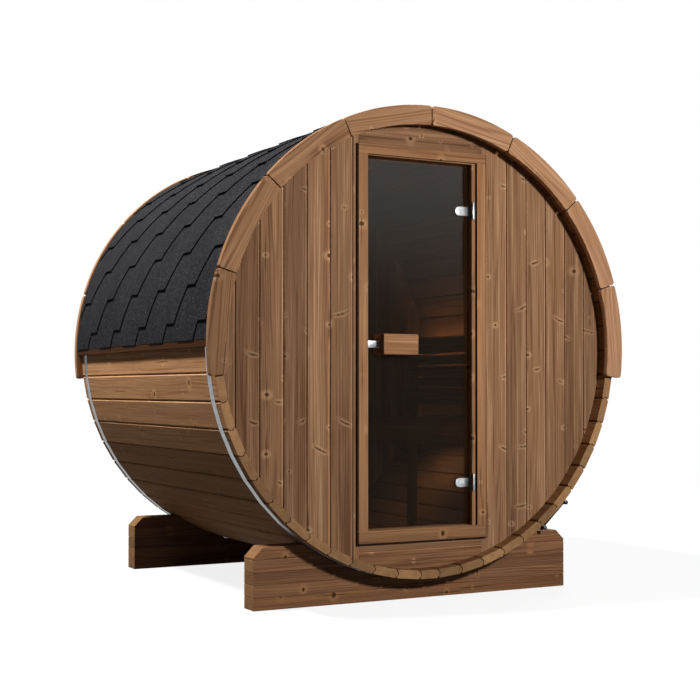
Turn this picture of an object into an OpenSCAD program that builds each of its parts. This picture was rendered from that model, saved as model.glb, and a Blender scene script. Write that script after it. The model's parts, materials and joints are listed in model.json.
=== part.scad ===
// Barrel sauna: a round cabin of straight staves, held by two steel straps, on two timber cradles.
// Sizes are in millimetres. +Z is up, the door faces -Y, and the origin is on the ground under the middle.

/* [Barrel] */
// Radius to the outer corners of the staves
barrel_r = 1000; // [900:5:1150]
// Length of the staves
barrel_len = 1751; // [1500:1:2400]
// Cover width of one stave
stave_w = 116.7; // [95:0.1:140]
// Thickness of a stave
stave_t = 37; // [28:1:45]

/* [End walls] */
// Distance from the stave ends to the outer face of an end wall
wall_inset = 58; // [50:1:90]
// Thickness of the wall boards
wall_t = 42; // [30:1:50]
// Cover width of one wall board
wall_board_w = 107.5; // [80:0.5:140]
// Width of the posts beside the doorway
post_w = 28; // [20:1:60]
// Height of the board next to the doorway's head or sill
infill_board_h = 56; // [40:1:70]

/* [Cradles] */
// Width of a cradle across the barrel
cradle_w = 1564; // [1300:2:1700]
// Height of a cradle
cradle_h = 260; // [220:1:320]
// Thickness of a cradle along the barrel
cradle_t = 95; // [70:1:130]
// Timber left under the barrel's lowest stave
cradle_base = 93; // [60:1:120]
// Chamfer on the cradle's upper corners
cradle_chamfer = 45; // [15:1:50]
// Number of boards glued up into a cradle
cradle_boards = 5; // [4:1:6]
// Gap between a strap and the cradle beside it
cradle_strap_gap = 11; // [5:1:200]

/* [Straps] */
// Distance from the stave ends to a strap
strap_inset = 42; // [20:1:80]
// Width of a strap
strap_w = 40; // [25:1:60]
// Thickness of a strap
strap_t = 1; // [0.6:0.1:2]
// Angle of the middle of the tightening bolt, from +X towards +Z
tension_angle = 312.7; // [300:0.1:330]
// Distance between the two strap lugs
lug_span = 162; // [120:1:220]
// Height of a strap lug
lug_h = 50; // [40:1:60]
// Thickness of a strap lug
lug_t = 3; // [2:0.5:5]
// Height of the tightening bolt above the barrel
bolt_rise = 38; // [30:1:44]
// Diameter of the tightening bolt
bolt_d = 8; // [6:1:10]

/* [Fascia] */
// Thickness of the fascia boards on the stave ends
fascia_t = 28; // [18:1:40]
// Height of the fascia above the shingles
fascia_lip = 4; // [1:0.5:20]
// Reach of the fascia inside the staves
fascia_reach = 15; // [5:1:30]
// Number of fascia boards round one end
fascia_n = 8; // [6:2:10]
// Angle by which the fascia runs on below the horizontal
fascia_drop = 7.7; // [3:0.1:15]
// Gap between two fascia boards
fascia_gap = 4.5; // [2:0.5:8]

/* [Roof] */
// Thickness of the roof boards
roof_board_t = 12; // [9:1:20]
// Width of the roof boards
roof_board_w = 145; // [90:1:180]
// Thickness of a shingle course at its lower edge
shingle_t = 10; // [6:0.5:14]
// Thickness of a shingle course at its upper edge
shingle_top_t = 5; // [3:0.5:6]
// Exposed width of a shingle course
course_w = 157; // [110:1:200]
// Exposed width of the course at the eave
eave_course_w = 79; // [40:1:200]
// Angle of the eave above the horizontal
eave_angle = 0.7; // [0.3:0.1:10]
// Height of the eave batten
eave_h = 29; // [20:1:40]
// Thickness of the eave batten
eave_t = 17; // [10:1:22]
// Width of the ridge cap
ridge_w = 210; // [150:5:250]
// Thickness of the ridge cap
ridge_t = 3; // [2:0.5:5]

/* [Doorway] */
// Clear width of the doorway
door_w = 551; // [480:1:640]
// Gap between the frame's upper corners and the staves
head_clear = 62; // [40:1:150]
// Gap between the frame's lower corners and the staves
sill_clear = 89; // [60:1:150]
// Width of the casing beside the doorway
casing_side = 44.5; // [36:0.5:55]
// Height of the casing over the doorway
casing_head = 41; // [36:0.5:55]
// Height of the casing under the doorway
casing_sill = 53; // [36:0.5:60]
// Thickness of the casing
casing_t = 14.3; // [12:0.1:24]
// Thickness of the frame behind the casing
lining_t = 34; // [24:1:36]
// Depth of the frame behind the casing
lining_d = 92; // [88:1:140]
// Width of the black seal strip between casing and frame
seal_w = 10; // [6:0.5:11]
// Depth of the black seal strip
seal_d = 6; // [4:0.5:10]
// Width of the black strip round the outside of the casing
gasket_w = 6; // [3:0.5:10]
// Depth of the black strip round the outside of the casing
gasket_d = 9; // [5:0.5:11]
// Width of the stop behind the glass
stop_w = 12; // [8:1:20]
// Depth of the stop behind the glass
stop_d = 25; // [15:1:30]

/* [Door] */
// Thickness of the door glass
glass_t = 8; // [6:1:10]
// Distance from the wall's outer face to the glass
glass_set = 37.5; // [34:0.5:45]
// Gap between the glass and the frame
glass_gap = 5.5; // [5:0.5:9]
// Gap between the glass and the stop
stop_gap = 6; // [5:0.5:10]
// Distance from the doorway's head to the upper hinge
hinge_drop = 210; // [120:1:300]
// Distance from the doorway's sill to the lower hinge
hinge_rise = 187; // [120:1:300]
// Length of the hinge clamp on the glass
clamp_w = 74; // [60:1:90]
// Height of the hinge clamp
clamp_h = 40; // [30:1:50]
// Thickness of the hinge clamp's cheeks
clamp_t = 6; // [4:0.5:7]
// Diameter of the hinge pin
pin_d = 8; // [6:0.5:8]
// Height of the hinge's wall plate
plate_h = 74; // [60:1:90]
// Width of the hinge's wall plate
plate_w = 20; // [14:1:22]
// Width of the wooden handle
handle_w = 172; // [120:1:220]
// Height of the wooden handle
handle_h = 88.5; // [60:0.5:110]
// Thickness of the wooden handle
handle_t = 32; // [20:1:40]
// Distance from the glass edge to the handle
handle_edge = 70; // [50:1:110]
// Height of the handle's middle above the barrel's axis
handle_z = 6; // [-150:1:150]
// Length of the handle's standoffs
standoff_l = 23.5; // [15:0.5:30]
// Diameter of the handle's standoffs
standoff_d = 14; // [10:1:20]
// Width of the metal catch on the glass edge
catch_w = 75; // [50:1:90]
// Height of the metal catch
catch_h = 29; // [20:1:40]
// Thickness of the metal catch's cheeks
catch_t = 5; // [3:0.5:6]

/* [Bench] */
// Depth of the bench's top below the barrel's axis
bench_drop = 340; // [250:1:420]
// Distance from the middle to the bench's front
bench_x = 391; // [360:1:450]
// Height of the bench's front board
apron_h = 115; // [80:1:140]
// Thickness of the bench's front board
apron_t = 22; // [16:1:30]
// Thickness of the seat boards
seat_t = 28; // [20:1:35]
// Number of seat boards
seat_n = 4; // [3:1:5]
// Gap between seat boards
seat_gap = 9; // [5:1:15]
// Side of the square bench leg, and width of the bearers
leg_s = 38; // [30:1:50]
// Height of the bearers under the seat
bearer_h = 45; // [30:1:60]

/* [Backrest] */
// Gap between the backrest's uprights and the staves at the seat
back_clear = 6; // [2:1:40]
// Height of the backrest's top above the barrel's axis
back_top = 94; // [40:1:140]
// Thickness of a backrest slat
slat_t = 18; // [14:1:20]
// Height of the top and bottom slats
slat_wide = 87; // [70:1:90]
// Height of the slats between them
slat_narrow = 51; // [40:1:55]
// Number of narrow slats
slat_n = 3; // [2:1:3]
// Gap between slats
slat_gap = 9; // [5:1:12]
// Gap between the backrest and an end wall
back_end_gap = 40; // [20:1:120]
// Thickness of the upright battens
batten_t = 30; // [20:1:30]
// Width of the upright battens
batten_w = 40; // [30:1:60]
// Side of the light strip behind the top slat
light_s = 10; // [6:1:14]

/* [Hidden] */
$fn = 96;
// Gaps left between pieces that lie side by side
joint = 0.4;
fit = 0.3;
pin_fit = 0.05;
eps = 0.01;
// Reach of a cut past the face that it leaves, and of one shape into another that it is joined to
over = 1;

// Barrel
stave_pitch = 2 * asin(stave_w / 2 / barrel_r);
stave_n = round(360 / stave_pitch) - 1;
closing_span = 360 - stave_n * stave_pitch;
bottom_angle = 270;
stave_group = ceil((stave_n + 1) / 6);
first_joint = bottom_angle + closing_span / 2;
flat_r = barrel_r * cos(stave_pitch / 2);
inner_r = barrel_r * cos(max(stave_pitch, closing_span) / 2) - stave_t;
axis_h = cradle_base + barrel_r;

// End walls
wall_r = inner_r - fit;
wall_back = wall_inset + wall_t;
room_len = barrel_len - 2 * wall_back;

// Straps
strap_low = fit / 2;
strap_high = strap_low + strap_t;
strap_out = on_staves(first_joint, strap_high);
bolt_r = barrel_r + bolt_rise;
lug_half = asin(lug_span / 2 / bolt_r);
lug_angles = [tension_angle - lug_half, tension_angle + lug_half];
lug_seat = lug_t / 2 * tan(stave_pitch / 2) + eps;
strap_lap = lug_t / barrel_r * 180 / PI;
cradle_inset = strap_inset + strap_w + cradle_strap_gap;

// Roof and fascia
roof_span = 90 - eave_angle;
deck_n = round(roof_span * PI / 180 * barrel_r / roof_board_w);
deck_step = roof_span / deck_n;
deck_in = (strap_out + fit) / cos(deck_step / 2);
deck_out = deck_in + roof_board_t;
deck_gap = joint / deck_out * 180 / PI;
shingle_in = deck_out + fit;
shingle_r = shingle_in + shingle_t;
course_fall = shingle_t - shingle_top_t;
course_step = course_w / shingle_r * 180 / PI;
second_course = eave_angle + eave_course_w / shingle_r * 180 / PI;
course_n = max(1, round((90 - second_course) / course_step));
course_edges = [eave_angle, for (k = [0 : course_n - 1]) second_course + k * course_step, 90];
// Largest turn between two points of a curved outline
facet = 2;
fascia_r = shingle_r + fascia_lip;
fascia_in = inner_r - fascia_reach;
fascia_span = (180 + 2 * fascia_drop) / fascia_n;
fascia_gap_a = fascia_gap / fascia_r * 180 / PI;

// Doorway
door_x = door_w / 2;
lining_x = door_x + lining_t;
corner_z = sqrt(pow(wall_r, 2) - pow(lining_x, 2));
door_top = corner_z - head_clear - lining_t;
door_sill = corner_z - sill_clear - lining_t;
post_in = lining_x + joint;
post_out = post_in + post_w;
casing_back = wall_inset - fit;
casing_front = casing_back - casing_t;
casing_x = door_x + casing_side;
lining_back = wall_inset + lining_d;
seal_recess = 1.5;

// Door
glass_y = wall_inset + glass_set;
glass_back = glass_y + glass_t;
glass_x = door_x - glass_gap;
glass_low = glass_gap - door_sill;
glass_high = door_top - glass_gap;
pin_r = pin_d / 2;
knuckle_wall = 1.5;
knuckle_r = pin_r + knuckle_wall;
knuckle_gap = 1;
knuckle_room = 4.5;
pivot_x = door_x - knuckle_r - knuckle_room;
pivot_rise = 3.5;
pivot_y = glass_y - clamp_t - pivot_rise;
plate_t = 3;
ear_h = 10;
clamp_room = 2;
clamp_end = pivot_x - knuckle_r - clamp_room;
clamp_start = pivot_x - clamp_w;
clamp_hole_x = clamp_start + clamp_h / 2;
stud_d = 15;
hole_d = stud_d + 2 * fit;
hinge_heights = [door_top - hinge_drop, hinge_rise - door_sill];
handle_x = handle_edge - glass_x + handle_w / 2;
standoff_x = [handle_x - handle_w / 4, handle_x + handle_w / 4];
catch_edge = 5;
catch_x = catch_edge - glass_x;
catch_hole_x = catch_x + catch_h;

// Bench and backrest
seat_top = -bench_drop;
seat_low = seat_top - seat_t;
bearer_low = seat_low - bearer_h;
seat_front = bench_x + apron_t + fit;
seat_back = sqrt(pow(wall_r, 2) - pow(seat_low, 2)) - joint;
seat_board_w = (seat_back - seat_front - (seat_n - 1) * seat_gap) / seat_n;
bearer_back = sqrt(pow(wall_r, 2) - pow(bearer_low, 2)) - joint;
bearer_y = [wall_back + fit, (barrel_len - leg_s) / 2, barrel_len - wall_back - fit - leg_s];
slat_x = sqrt(pow(wall_r, 2) - pow(seat_top, 2)) - back_clear - batten_t;
back_x = slat_x - slat_t;
back_y = [wall_back + back_end_gap, barrel_len - wall_back - back_end_gap];
batten_y = [back_y[0] + batten_w, (barrel_len - batten_w) / 2, back_y[1] - 2 * batten_w];
batten_top = back_top - slat_wide / 2;

wood = "#8f6b4c";
wood_light = "#a87d59";
wood_dark = "#76553c";
end_grain = "#957650";
bitumen = "#38393b";
steel = "#9aa4ab";
bright = "#d2d3d4";
black = "#17130f";

// Point at radius r and angle a, measured from +X towards +Z
function polar(r, a) = [r * cos(a), r * sin(a)];

// Distance from the axis, at angle a, to a face that lies flat over the staves at a height above them
function on_staves(a, height) =
    let (turn = a - first_joint, middle = (floor(turn / stave_pitch) + 0.5) * stave_pitch)
    (flat_r + height) / cos(turn - middle);

// Children are placed from the front stave ends (y) and the barrel's axis (x, z)
module at_front() {
    translate([0, -barrel_len / 2, axis_h]) children();
}

// Turns children from the front end to the back end
module at_back_end() {
    translate([0, barrel_len, 0]) mirror([0, 1, 0]) children();
}

// Children and their mirror image across the middle
module both_sides() {
    children();
    mirror([1, 0, 0]) children();
}

// Box from its lowest to its highest corner
module block(low, high) {
    translate(low) cube(high - low);
}

// Outline in X and Z, carried along Y from y0 to y1
module prism(y0, y1, points) {
    translate([0, y1, 0]) rotate([90, 0, 0]) linear_extrude(y1 - y0) polygon(points);
}

// Solid round bar along Y, on the barrel's axis
module drum(y0, y1, r) {
    translate([0, y1, 0]) rotate([90, 0, 0]) cylinder(h = y1 - y0, r = r);
}

// Ring along Y from radius r0 to r1, over span degrees from angle a
module ring(y0, y1, r0, r1, a, span) {
    translate([0, y1, 0]) rotate([90, 0, 0]) rotate([0, 0, a])
        rotate_extrude(angle = span) translate([r0, 0]) square([r1 - r0, y1 - y0]);
}

// One straight stave whose middle lies at angle a
module stave(a, span) {
    out = barrel_r * cos(span / 2);
    in = out - stave_t;
    out_half = barrel_r * sin(span / 2) - joint / 2;
    in_half = in * tan(span / 2) - joint / 2;
    rotate([0, -a, 0])
        prism(0, barrel_len, [[in, -in_half], [out, -out_half], [out, out_half], [in, in_half]]);
}

// A sixth of the staves; the last sixth takes the narrow closing stave at the bottom
module stave_part(part) {
    color(wood) at_front() {
        for (i = [part * stave_group : min((part + 1) * stave_group, stave_n) - 1])
            stave(bottom_angle + closing_span / 2 + stave_pitch * (i + 0.5), stave_pitch);
        if (part == 5) stave(bottom_angle, closing_span);
    }
}

module staves_lower_right() { stave_part(0); }
module staves_right() { stave_part(1); }
module staves_upper_right() { stave_part(2); }
module staves_upper_left() { stave_part(3); }
module staves_left() { stave_part(4); }
module staves_lower_left() { stave_part(5); }

// Glued-up boards, hollowed to the barrel, with the upper corners cut off
module cradle() {
    half = cradle_w / 2;
    board_h = cradle_h / cradle_boards;
    outline = [
        [-half, 0], [half, 0], [half, cradle_h - cradle_chamfer], [half - cradle_chamfer, cradle_h],
        [cradle_chamfer - half, cradle_h], [-half, cradle_h - cradle_chamfer]
    ];
    y1 = cradle_inset + cradle_t;
    color(wood_dark) translate([0, 0, -axis_h])
        for (k = [0 : cradle_boards - 1])
            difference() {
                intersection() {
                    prism(cradle_inset, y1, outline);
                    block([-half, cradle_inset, k * board_h], [half, y1, (k + 1) * board_h - fit]);
                }
                translate([0, 0, axis_h]) drum(cradle_inset - over, y1 + over, barrel_r + fit);
            }
}

module cradle_front() { at_front() cradle(); }
module cradle_back() { at_front() at_back_end() cradle(); }

// Steel band that lies flat on each stave, open at the tightening bolt
module strap() {
    start = lug_angles[1] - strap_lap;
    end = lug_angles[0] + strap_lap;
    angles = [
        start,
        for (k = [ceil((start - first_joint) / stave_pitch) : stave_n]) first_joint + k * stave_pitch,
        for (k = [0 : floor((end - first_joint) / stave_pitch)]) first_joint + k * stave_pitch,
        end
    ];
    last = len(angles) - 1;
    inside = [for (a = angles) polar(on_staves(a, strap_low), a)];
    outside = [for (i = [0 : last]) polar(on_staves(angles[last - i], strap_high), angles[last - i])];
    color(steel) prism(strap_inset, strap_inset + strap_w, concat(inside, outside));
}

module strap_front() { at_front() strap(); }
module strap_back() { at_front() at_back_end() strap(); }

// Two lugs on the strap's ends and the bolt that pulls them together
module tensioner() {
    middle = strap_inset + strap_w / 2;
    overhang = 2 * bolt_d;
    color(steel) {
        for (a = lug_angles)
            rotate([0, -a, 0]) {
                low = on_staves(a, strap_high) + lug_seat;
                block([low, strap_inset, -lug_t / 2], [low + lug_h, strap_inset + strap_w, lug_t / 2]);
            }
        rotate([0, -tension_angle, 0]) translate([bolt_r * cos(lug_half), middle, 0]) {
            cylinder(h = lug_span + 2 * overhang, d = bolt_d, center = true);
            for (side = [-1, 1])
                translate([0, 0, side * (lug_span / 2 + lug_t + bolt_d / 2)])
                    cylinder(h = bolt_d, d = 2 * bolt_d, center = true, $fn = 6);
        }
    }
}

module tensioner_front() { at_front() tensioner(); }
module tensioner_back() { at_front() at_back_end() tensioner(); }

// Curved boards that cover the stave ends and the roof's edge
module fascia() {
    color(wood_light)
        for (i = [0 : fascia_n - 1])
            ring(-fascia_t, 0, fascia_in, fascia_r,
                 -fascia_drop + i * fascia_span + fascia_gap_a / 2, fascia_span - fascia_gap_a);
}

module front_fascia() { at_front() fascia(); }
module back_fascia() { at_front() at_back_end() fascia(); }

module roof_boards() {
    color(wood) at_front() both_sides()
        for (k = [0 : deck_n - 1]) {
            a0 = eave_angle + k * deck_step;
            a1 = a0 + deck_step - deck_gap;
            prism(0, barrel_len, [
                polar(deck_in, a0), polar(deck_out, a0), polar(deck_out, a1), polar(deck_in, a1)
            ]);
        }
}

// One course of shingles after another, thicker at the lower edge, on the right side
module shingle_courses() {
    color(bitumen)
        for (k = [0 : course_n]) {
            a0 = course_edges[k];
            span = course_edges[k + 1] - deck_gap - a0;
            n = ceil(span / facet);
            prism(0, barrel_len, concat(
                [for (i = [0 : n]) polar(shingle_in, a0 + span * i / n)],
                [for (i = [n : -1 : 0]) polar(shingle_r - course_fall * i / n, a0 + span * i / n)]
            ));
        }
}

module shingles_right() { at_front() shingle_courses(); }
module shingles_left() { at_front() mirror([1, 0, 0]) shingle_courses(); }

// Cap bent over the meeting of the two roof sides
module ridge_cap() {
    half = asin(ridge_w / 2 / shingle_r);
    top_span = 90 - course_edges[course_n];
    n = ceil(half / facet);
    turns = [for (i = [-n : n]) half * i / n];
    // Radius of the topmost course, a degrees from the crest
    function top_r(a) = shingle_r - course_fall * max(0, 1 - abs(a) / top_span);
    under = [for (a = turns) polar(top_r(a) + fit, 90 + a)];
    crown = [for (a = turns) polar(top_r(a) + fit + ridge_t, 90 - a)];
    color(bitumen) at_front() prism(0, barrel_len, concat(under, crown));
}

module eave_battens() {
    top = deck_in * sin(eave_angle) - fit;
    inside = strap_out + fit;
    color(wood_dark) at_front() both_sides()
        block([inside, 0, top - eave_h], [inside + eave_t, barrel_len, top]);
}

// Upright board of an end wall between x0 and x1, cut round to the staves
module wall_board(x0, x1) {
    intersection() {
        block([x0, wall_inset, -wall_r], [x1, wall_back, wall_r]);
        drum(wall_inset, wall_back, wall_r);
    }
}

// Boards from x0 out to the staves; the outermost one takes what is left
module wall_boards(x0) {
    n = max(1, round((wall_r - x0) / wall_board_w));
    color(wood)
        for (i = [0 : n - 1])
            wall_board(x0 + i * wall_board_w + joint / 2,
                       i == n - 1 ? wall_r : x0 + (i + 1) * wall_board_w - joint / 2);
}

module front_wall_right() { at_front() wall_boards(post_out); }
module front_wall_left() { at_front() mirror([1, 0, 0]) wall_boards(post_out); }
module back_wall() { at_front() at_back_end() both_sides() wall_boards(0); }

module door_posts() {
    color(wood) at_front() both_sides() wall_board(post_in, post_out - joint / 2);
}

// Level boards between the posts, from the doorway's edge z0 to the staves; side is 1 above and -1 below
module infill(z0, side) {
    limits = [[z0 + joint, z0 + infill_board_h], [z0 + infill_board_h + joint, wall_r]];
    color(wood) mirror([0, 0, side < 0 ? 1 : 0])
        for (row = limits)
            intersection() {
                block([-lining_x, wall_inset, row[0]], [lining_x, wall_back, row[1]]);
                drum(wall_inset, wall_back, wall_r);
            }
}

module header_boards() { at_front() infill(door_top + lining_t, 1); }
module sill_boards() { at_front() infill(door_sill + lining_t, -1); }

// Boards of the casing; the inner edge is rebated at the back for the seal
module casing_sides() {
    color(wood_light) at_front() both_sides() difference() {
        block([door_x, casing_front, -door_sill], [casing_x, casing_back, door_top - fit]);
        block([door_x - over, casing_back - seal_w, -door_sill - over],
              [door_x + seal_d, casing_back + over, door_top]);
    }
}

module casing_head_board() {
    color(wood_light) at_front() difference() {
        block([-casing_x, casing_front, door_top], [casing_x, casing_back, door_top + casing_head]);
        block([-door_x - seal_d, casing_back - seal_w, door_top - over],
              [door_x + seal_d, casing_back + over, door_top + seal_d]);
    }
}

module casing_sill_board() {
    color(wood_light) at_front()
        block([-casing_x, casing_front, -door_sill - casing_sill],
              [casing_x, casing_back, -door_sill - fit]);
}

// Four-sided frame that lines the doorway through the wall
module door_lining() {
    color(wood_light) at_front() {
        both_sides() block([door_x, wall_inset, -door_sill + fit], [lining_x, lining_back, door_top - fit]);
        block([-lining_x, wall_inset, door_top], [lining_x, lining_back, door_top + lining_t]);
        block([-lining_x, wall_inset, -door_sill - lining_t], [lining_x, lining_back, -door_sill]);
    }
}

module door_seal() {
    y0 = casing_back - seal_w + fit;
    color(black) at_front() {
        both_sides()
            block([door_x + seal_recess, y0, -door_sill + fit],
                  [door_x + seal_d - fit, casing_back, door_top]);
        block([-door_x - seal_d + fit, y0, door_top + seal_recess],
              [door_x + seal_d - fit, casing_back, door_top + seal_d - fit]);
    }
}

// Black strip in the gap round the casing's sides and foot
module casing_gasket() {
    low = -door_sill - casing_sill;
    out = casing_x + gasket_w;
    y0 = casing_back - gasket_d;
    color(black) at_front() {
        both_sides() block([casing_x + fit, y0, low], [out, casing_back, door_top + casing_head]);
        block([-out, y0, low - gasket_w - fit], [out, casing_back, low - fit]);
    }
}

module door_stops() {
    y0 = glass_back + stop_gap;
    color(wood) at_front() {
        both_sides()
            block([door_x - stop_w, y0, -door_sill + fit],
                  [door_x - eps, y0 + stop_d, door_top - stop_w - fit]);
        block([-door_x, y0, door_top - stop_w], [door_x, y0 + stop_d, door_top - fit]);
    }
}

// Round bar along Z at the hinge's pivot
module pivot_bar(z0, z1, r) {
    translate([pivot_x, pivot_y, z0]) cylinder(h = z1 - z0, r = r);
}

// Wall plate, two ears and the pin, for each hinge
module hinge_plates() {
    ear_in = clamp_h / 2 + knuckle_gap;
    plate_y = pivot_y + knuckle_r - plate_w;
    plate_x = door_x - plate_t;
    color(bright) at_front()
        for (z = hinge_heights) translate([0, 0, z]) {
            block([plate_x, plate_y, -plate_h / 2], [door_x - eps, plate_y + plate_w, plate_h / 2]);
            for (side = [0, 1]) mirror([0, 0, side]) {
                pivot_bar(ear_in, ear_in + ear_h, knuckle_r);
                block([pivot_x, pivot_y - pin_r, ear_in], [plate_x + over, pivot_y + pin_r, ear_in + ear_h]);
            }
            pivot_bar(-ear_in - eps, ear_in + eps, pin_r);
        }
}

module door_glass() {
    color("#3a332c", 0.6) at_front() difference() {
        block([-glass_x, glass_y, glass_low], [glass_x, glass_back, glass_high]);
        for (z = hinge_heights) glass_hole([clamp_hole_x, z], hole_d);
        for (x = standoff_x) glass_hole([x, handle_z], standoff_d + 2 * fit);
        glass_hole([catch_hole_x, handle_z], hole_d);
    }
}

// Round hole through the glass at a place in X and Z
module glass_hole(place, d) {
    translate([place[0], glass_back + over, place[1]]) rotate([90, 0, 0])
        cylinder(h = glass_t + 2 * over, d = d);
}

// Stud through the glass at a place in X and Z
module glass_stud(place, d, y0, y1) {
    translate([place[0], y1, place[1]]) rotate([90, 0, 0]) cylinder(h = y1 - y0, d = d);
}

// Cheek on the glass with a round end, from x0 to x1 and y0 to y1
module cheek(x0, x1, y0, y1, h) {
    block([x0 + h / 2, y0, -h / 2], [x1, y1, h / 2]);
    glass_stud([x0 + h / 2, 0], h, y0, y1);
}

// Two cheeks that hold the glass, and the knuckle that turns on the pin
module hinge_clamps() {
    color(bright) at_front()
        for (z = hinge_heights) translate([0, 0, z]) difference() {
            union() {
                cheek(clamp_start, clamp_end, glass_y - clamp_t, glass_y, clamp_h);
                cheek(clamp_start, clamp_end - stop_w, glass_back, glass_back + clamp_t, clamp_h);
                glass_stud([clamp_hole_x, 0], stud_d, glass_y - over, glass_back + over);
                pivot_bar(-clamp_h / 2, clamp_h / 2, knuckle_r);
                block([clamp_end - over, pivot_y, -clamp_h / 2], [pivot_x, pivot_y + knuckle_r, clamp_h / 2]);
            }
            pivot_bar(-clamp_h, clamp_h, pin_r + pin_fit);
        }
}

// Wooden block of the handle between y0 and y1
module handle_block(y0, y1) {
    color(wood_light) at_front() translate([handle_x, 0, handle_z])
        block([-handle_w / 2, y0, -handle_h / 2], [handle_w / 2, y1, handle_h / 2]);
}

module handle_outside() { handle_block(glass_y - standoff_l - handle_t, glass_y - standoff_l); }
module handle_inside() { handle_block(glass_back + standoff_l, glass_back + standoff_l + handle_t); }

module handle_standoffs() {
    color(bright) at_front()
        for (x = standoff_x)
            glass_stud([x, handle_z], standoff_d, glass_y - standoff_l, glass_back + standoff_l);
}

// Metal catch with a cheek on each side of the glass
module door_catch() {
    color(bright) at_front() translate([0, 0, handle_z]) {
        block([catch_x, glass_y - catch_t, -catch_h / 2], [catch_x + catch_w, glass_y, catch_h / 2]);
        block([catch_x, glass_back, -catch_h / 2], [catch_x + catch_w, glass_back + catch_t, catch_h / 2]);
        glass_stud([catch_hole_x, 0], stud_d, glass_y - over, glass_back + over);
    }
}

module bench_seat() {
    color(wood) at_front()
        for (i = [0 : seat_n - 1]) {
            x0 = seat_front + i * (seat_board_w + seat_gap);
            block([x0, wall_back + fit, seat_low],
                  [x0 + seat_board_w, barrel_len - wall_back - fit, seat_top]);
        }
}

module bench_apron() {
    color(wood_light) at_front()
        block([bench_x, wall_back + fit, seat_top - apron_h],
              [bench_x + apron_t, barrel_len - wall_back - fit, seat_top]);
}

// Cross bearers under the seat, at both walls and in the middle, and the leg that stands on the staves
module bench_frame() {
    color(wood_light) at_front() {
        for (y = bearer_y)
            block([seat_front, y, bearer_low], [bearer_back, y + leg_s, seat_low - eps]);
        intersection() {
            block([seat_front, bearer_y[1], -barrel_r],
                  [seat_front + leg_s, bearer_y[1] + leg_s, bearer_low - fit]);
            drum(0, barrel_len, wall_r);
        }
    }
}

module backrest_slats() {
    heights = [slat_wide, for (i = [1 : slat_n]) slat_narrow, slat_wide];
    // Sum of the heights and gaps above slat i
    function above(i) = i == 0 ? 0 : above(i - 1) + heights[i - 1] + slat_gap;
    color(wood) at_front()
        for (i = [0 : slat_n + 1])
            block([back_x, back_y[0], back_top - above(i) - heights[i]],
                  [slat_x, back_y[1], back_top - above(i)]);
}

// Uprights that carry the slats and stand on the seat
module backrest_battens() {
    color(wood_dark) at_front()
        for (y = batten_y)
            block([slat_x + eps, y, seat_top + eps], [slat_x + batten_t, y + batten_w, batten_top]);
}

module backrest_light() {
    color("#ffd9a0") at_front()
        block([slat_x + eps, back_y[0] + batten_w, batten_top + slat_gap],
              [slat_x + light_s, back_y[1] - batten_w, batten_top + slat_gap + light_s]);
}

cradle_front();
cradle_back();
staves_lower_right();
staves_right();
staves_upper_right();
staves_upper_left();
staves_left();
staves_lower_left();
strap_front();
strap_back();
tensioner_front();
tensioner_back();
front_fascia();
back_fascia();
roof_boards();
shingles_right();
shingles_left();
ridge_cap();
eave_battens();
front_wall_left();
front_wall_right();
door_posts();
header_boards();
sill_boards();
back_wall();
casing_sides();
casing_head_board();
casing_sill_board();
door_lining();
door_seal();
casing_gasket();
door_stops();
hinge_plates();
door_glass();
hinge_clamps();
handle_outside();
handle_inside();
handle_standoffs();
door_catch();
bench_seat();
bench_apron();
bench_frame();
backrest_slats();
backrest_battens();
backrest_light();
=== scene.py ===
"""Barrel sauna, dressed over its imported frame: timber cabin, shingled roof, steel straps and glass door."""

import json
import logging
import math
import random
from collections.abc import Callable, Iterable, Sequence
from dataclasses import dataclass, field
from enum import Enum

import bmesh
import bpy
import numpy as np
from mathutils import Matrix, Vector

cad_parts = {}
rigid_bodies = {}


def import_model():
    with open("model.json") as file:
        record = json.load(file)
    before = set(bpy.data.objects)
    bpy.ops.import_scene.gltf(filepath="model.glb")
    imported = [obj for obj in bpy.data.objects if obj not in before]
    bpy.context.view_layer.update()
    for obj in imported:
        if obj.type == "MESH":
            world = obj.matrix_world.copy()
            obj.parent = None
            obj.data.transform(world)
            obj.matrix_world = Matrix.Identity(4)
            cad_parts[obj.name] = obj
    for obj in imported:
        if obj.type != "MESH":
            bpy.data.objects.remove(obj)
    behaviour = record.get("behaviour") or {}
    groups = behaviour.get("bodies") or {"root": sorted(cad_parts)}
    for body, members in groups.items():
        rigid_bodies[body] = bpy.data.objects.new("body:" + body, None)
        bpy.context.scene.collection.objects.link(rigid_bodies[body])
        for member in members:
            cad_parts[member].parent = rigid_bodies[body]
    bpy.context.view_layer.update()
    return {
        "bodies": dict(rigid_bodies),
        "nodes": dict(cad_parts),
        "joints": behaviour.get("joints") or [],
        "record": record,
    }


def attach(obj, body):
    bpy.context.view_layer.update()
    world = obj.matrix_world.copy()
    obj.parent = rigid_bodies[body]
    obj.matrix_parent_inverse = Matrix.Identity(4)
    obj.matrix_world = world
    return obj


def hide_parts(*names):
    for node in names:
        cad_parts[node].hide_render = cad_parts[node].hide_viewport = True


LOG = logging.getLogger("barrel_sauna")
MM = 0.001
PLAIN = (0.5, 0.5, 0.5, 1.0)

Triple = tuple[float, float, float]
Socket = bpy.types.NodeSocket
Sockets = bpy.types.bpy_prop_collection
Thing = bpy.types.Object


class Body(Enum):
    """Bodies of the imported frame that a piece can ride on."""

    CABIN = "cabin"
    DOOR = "door"


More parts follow.
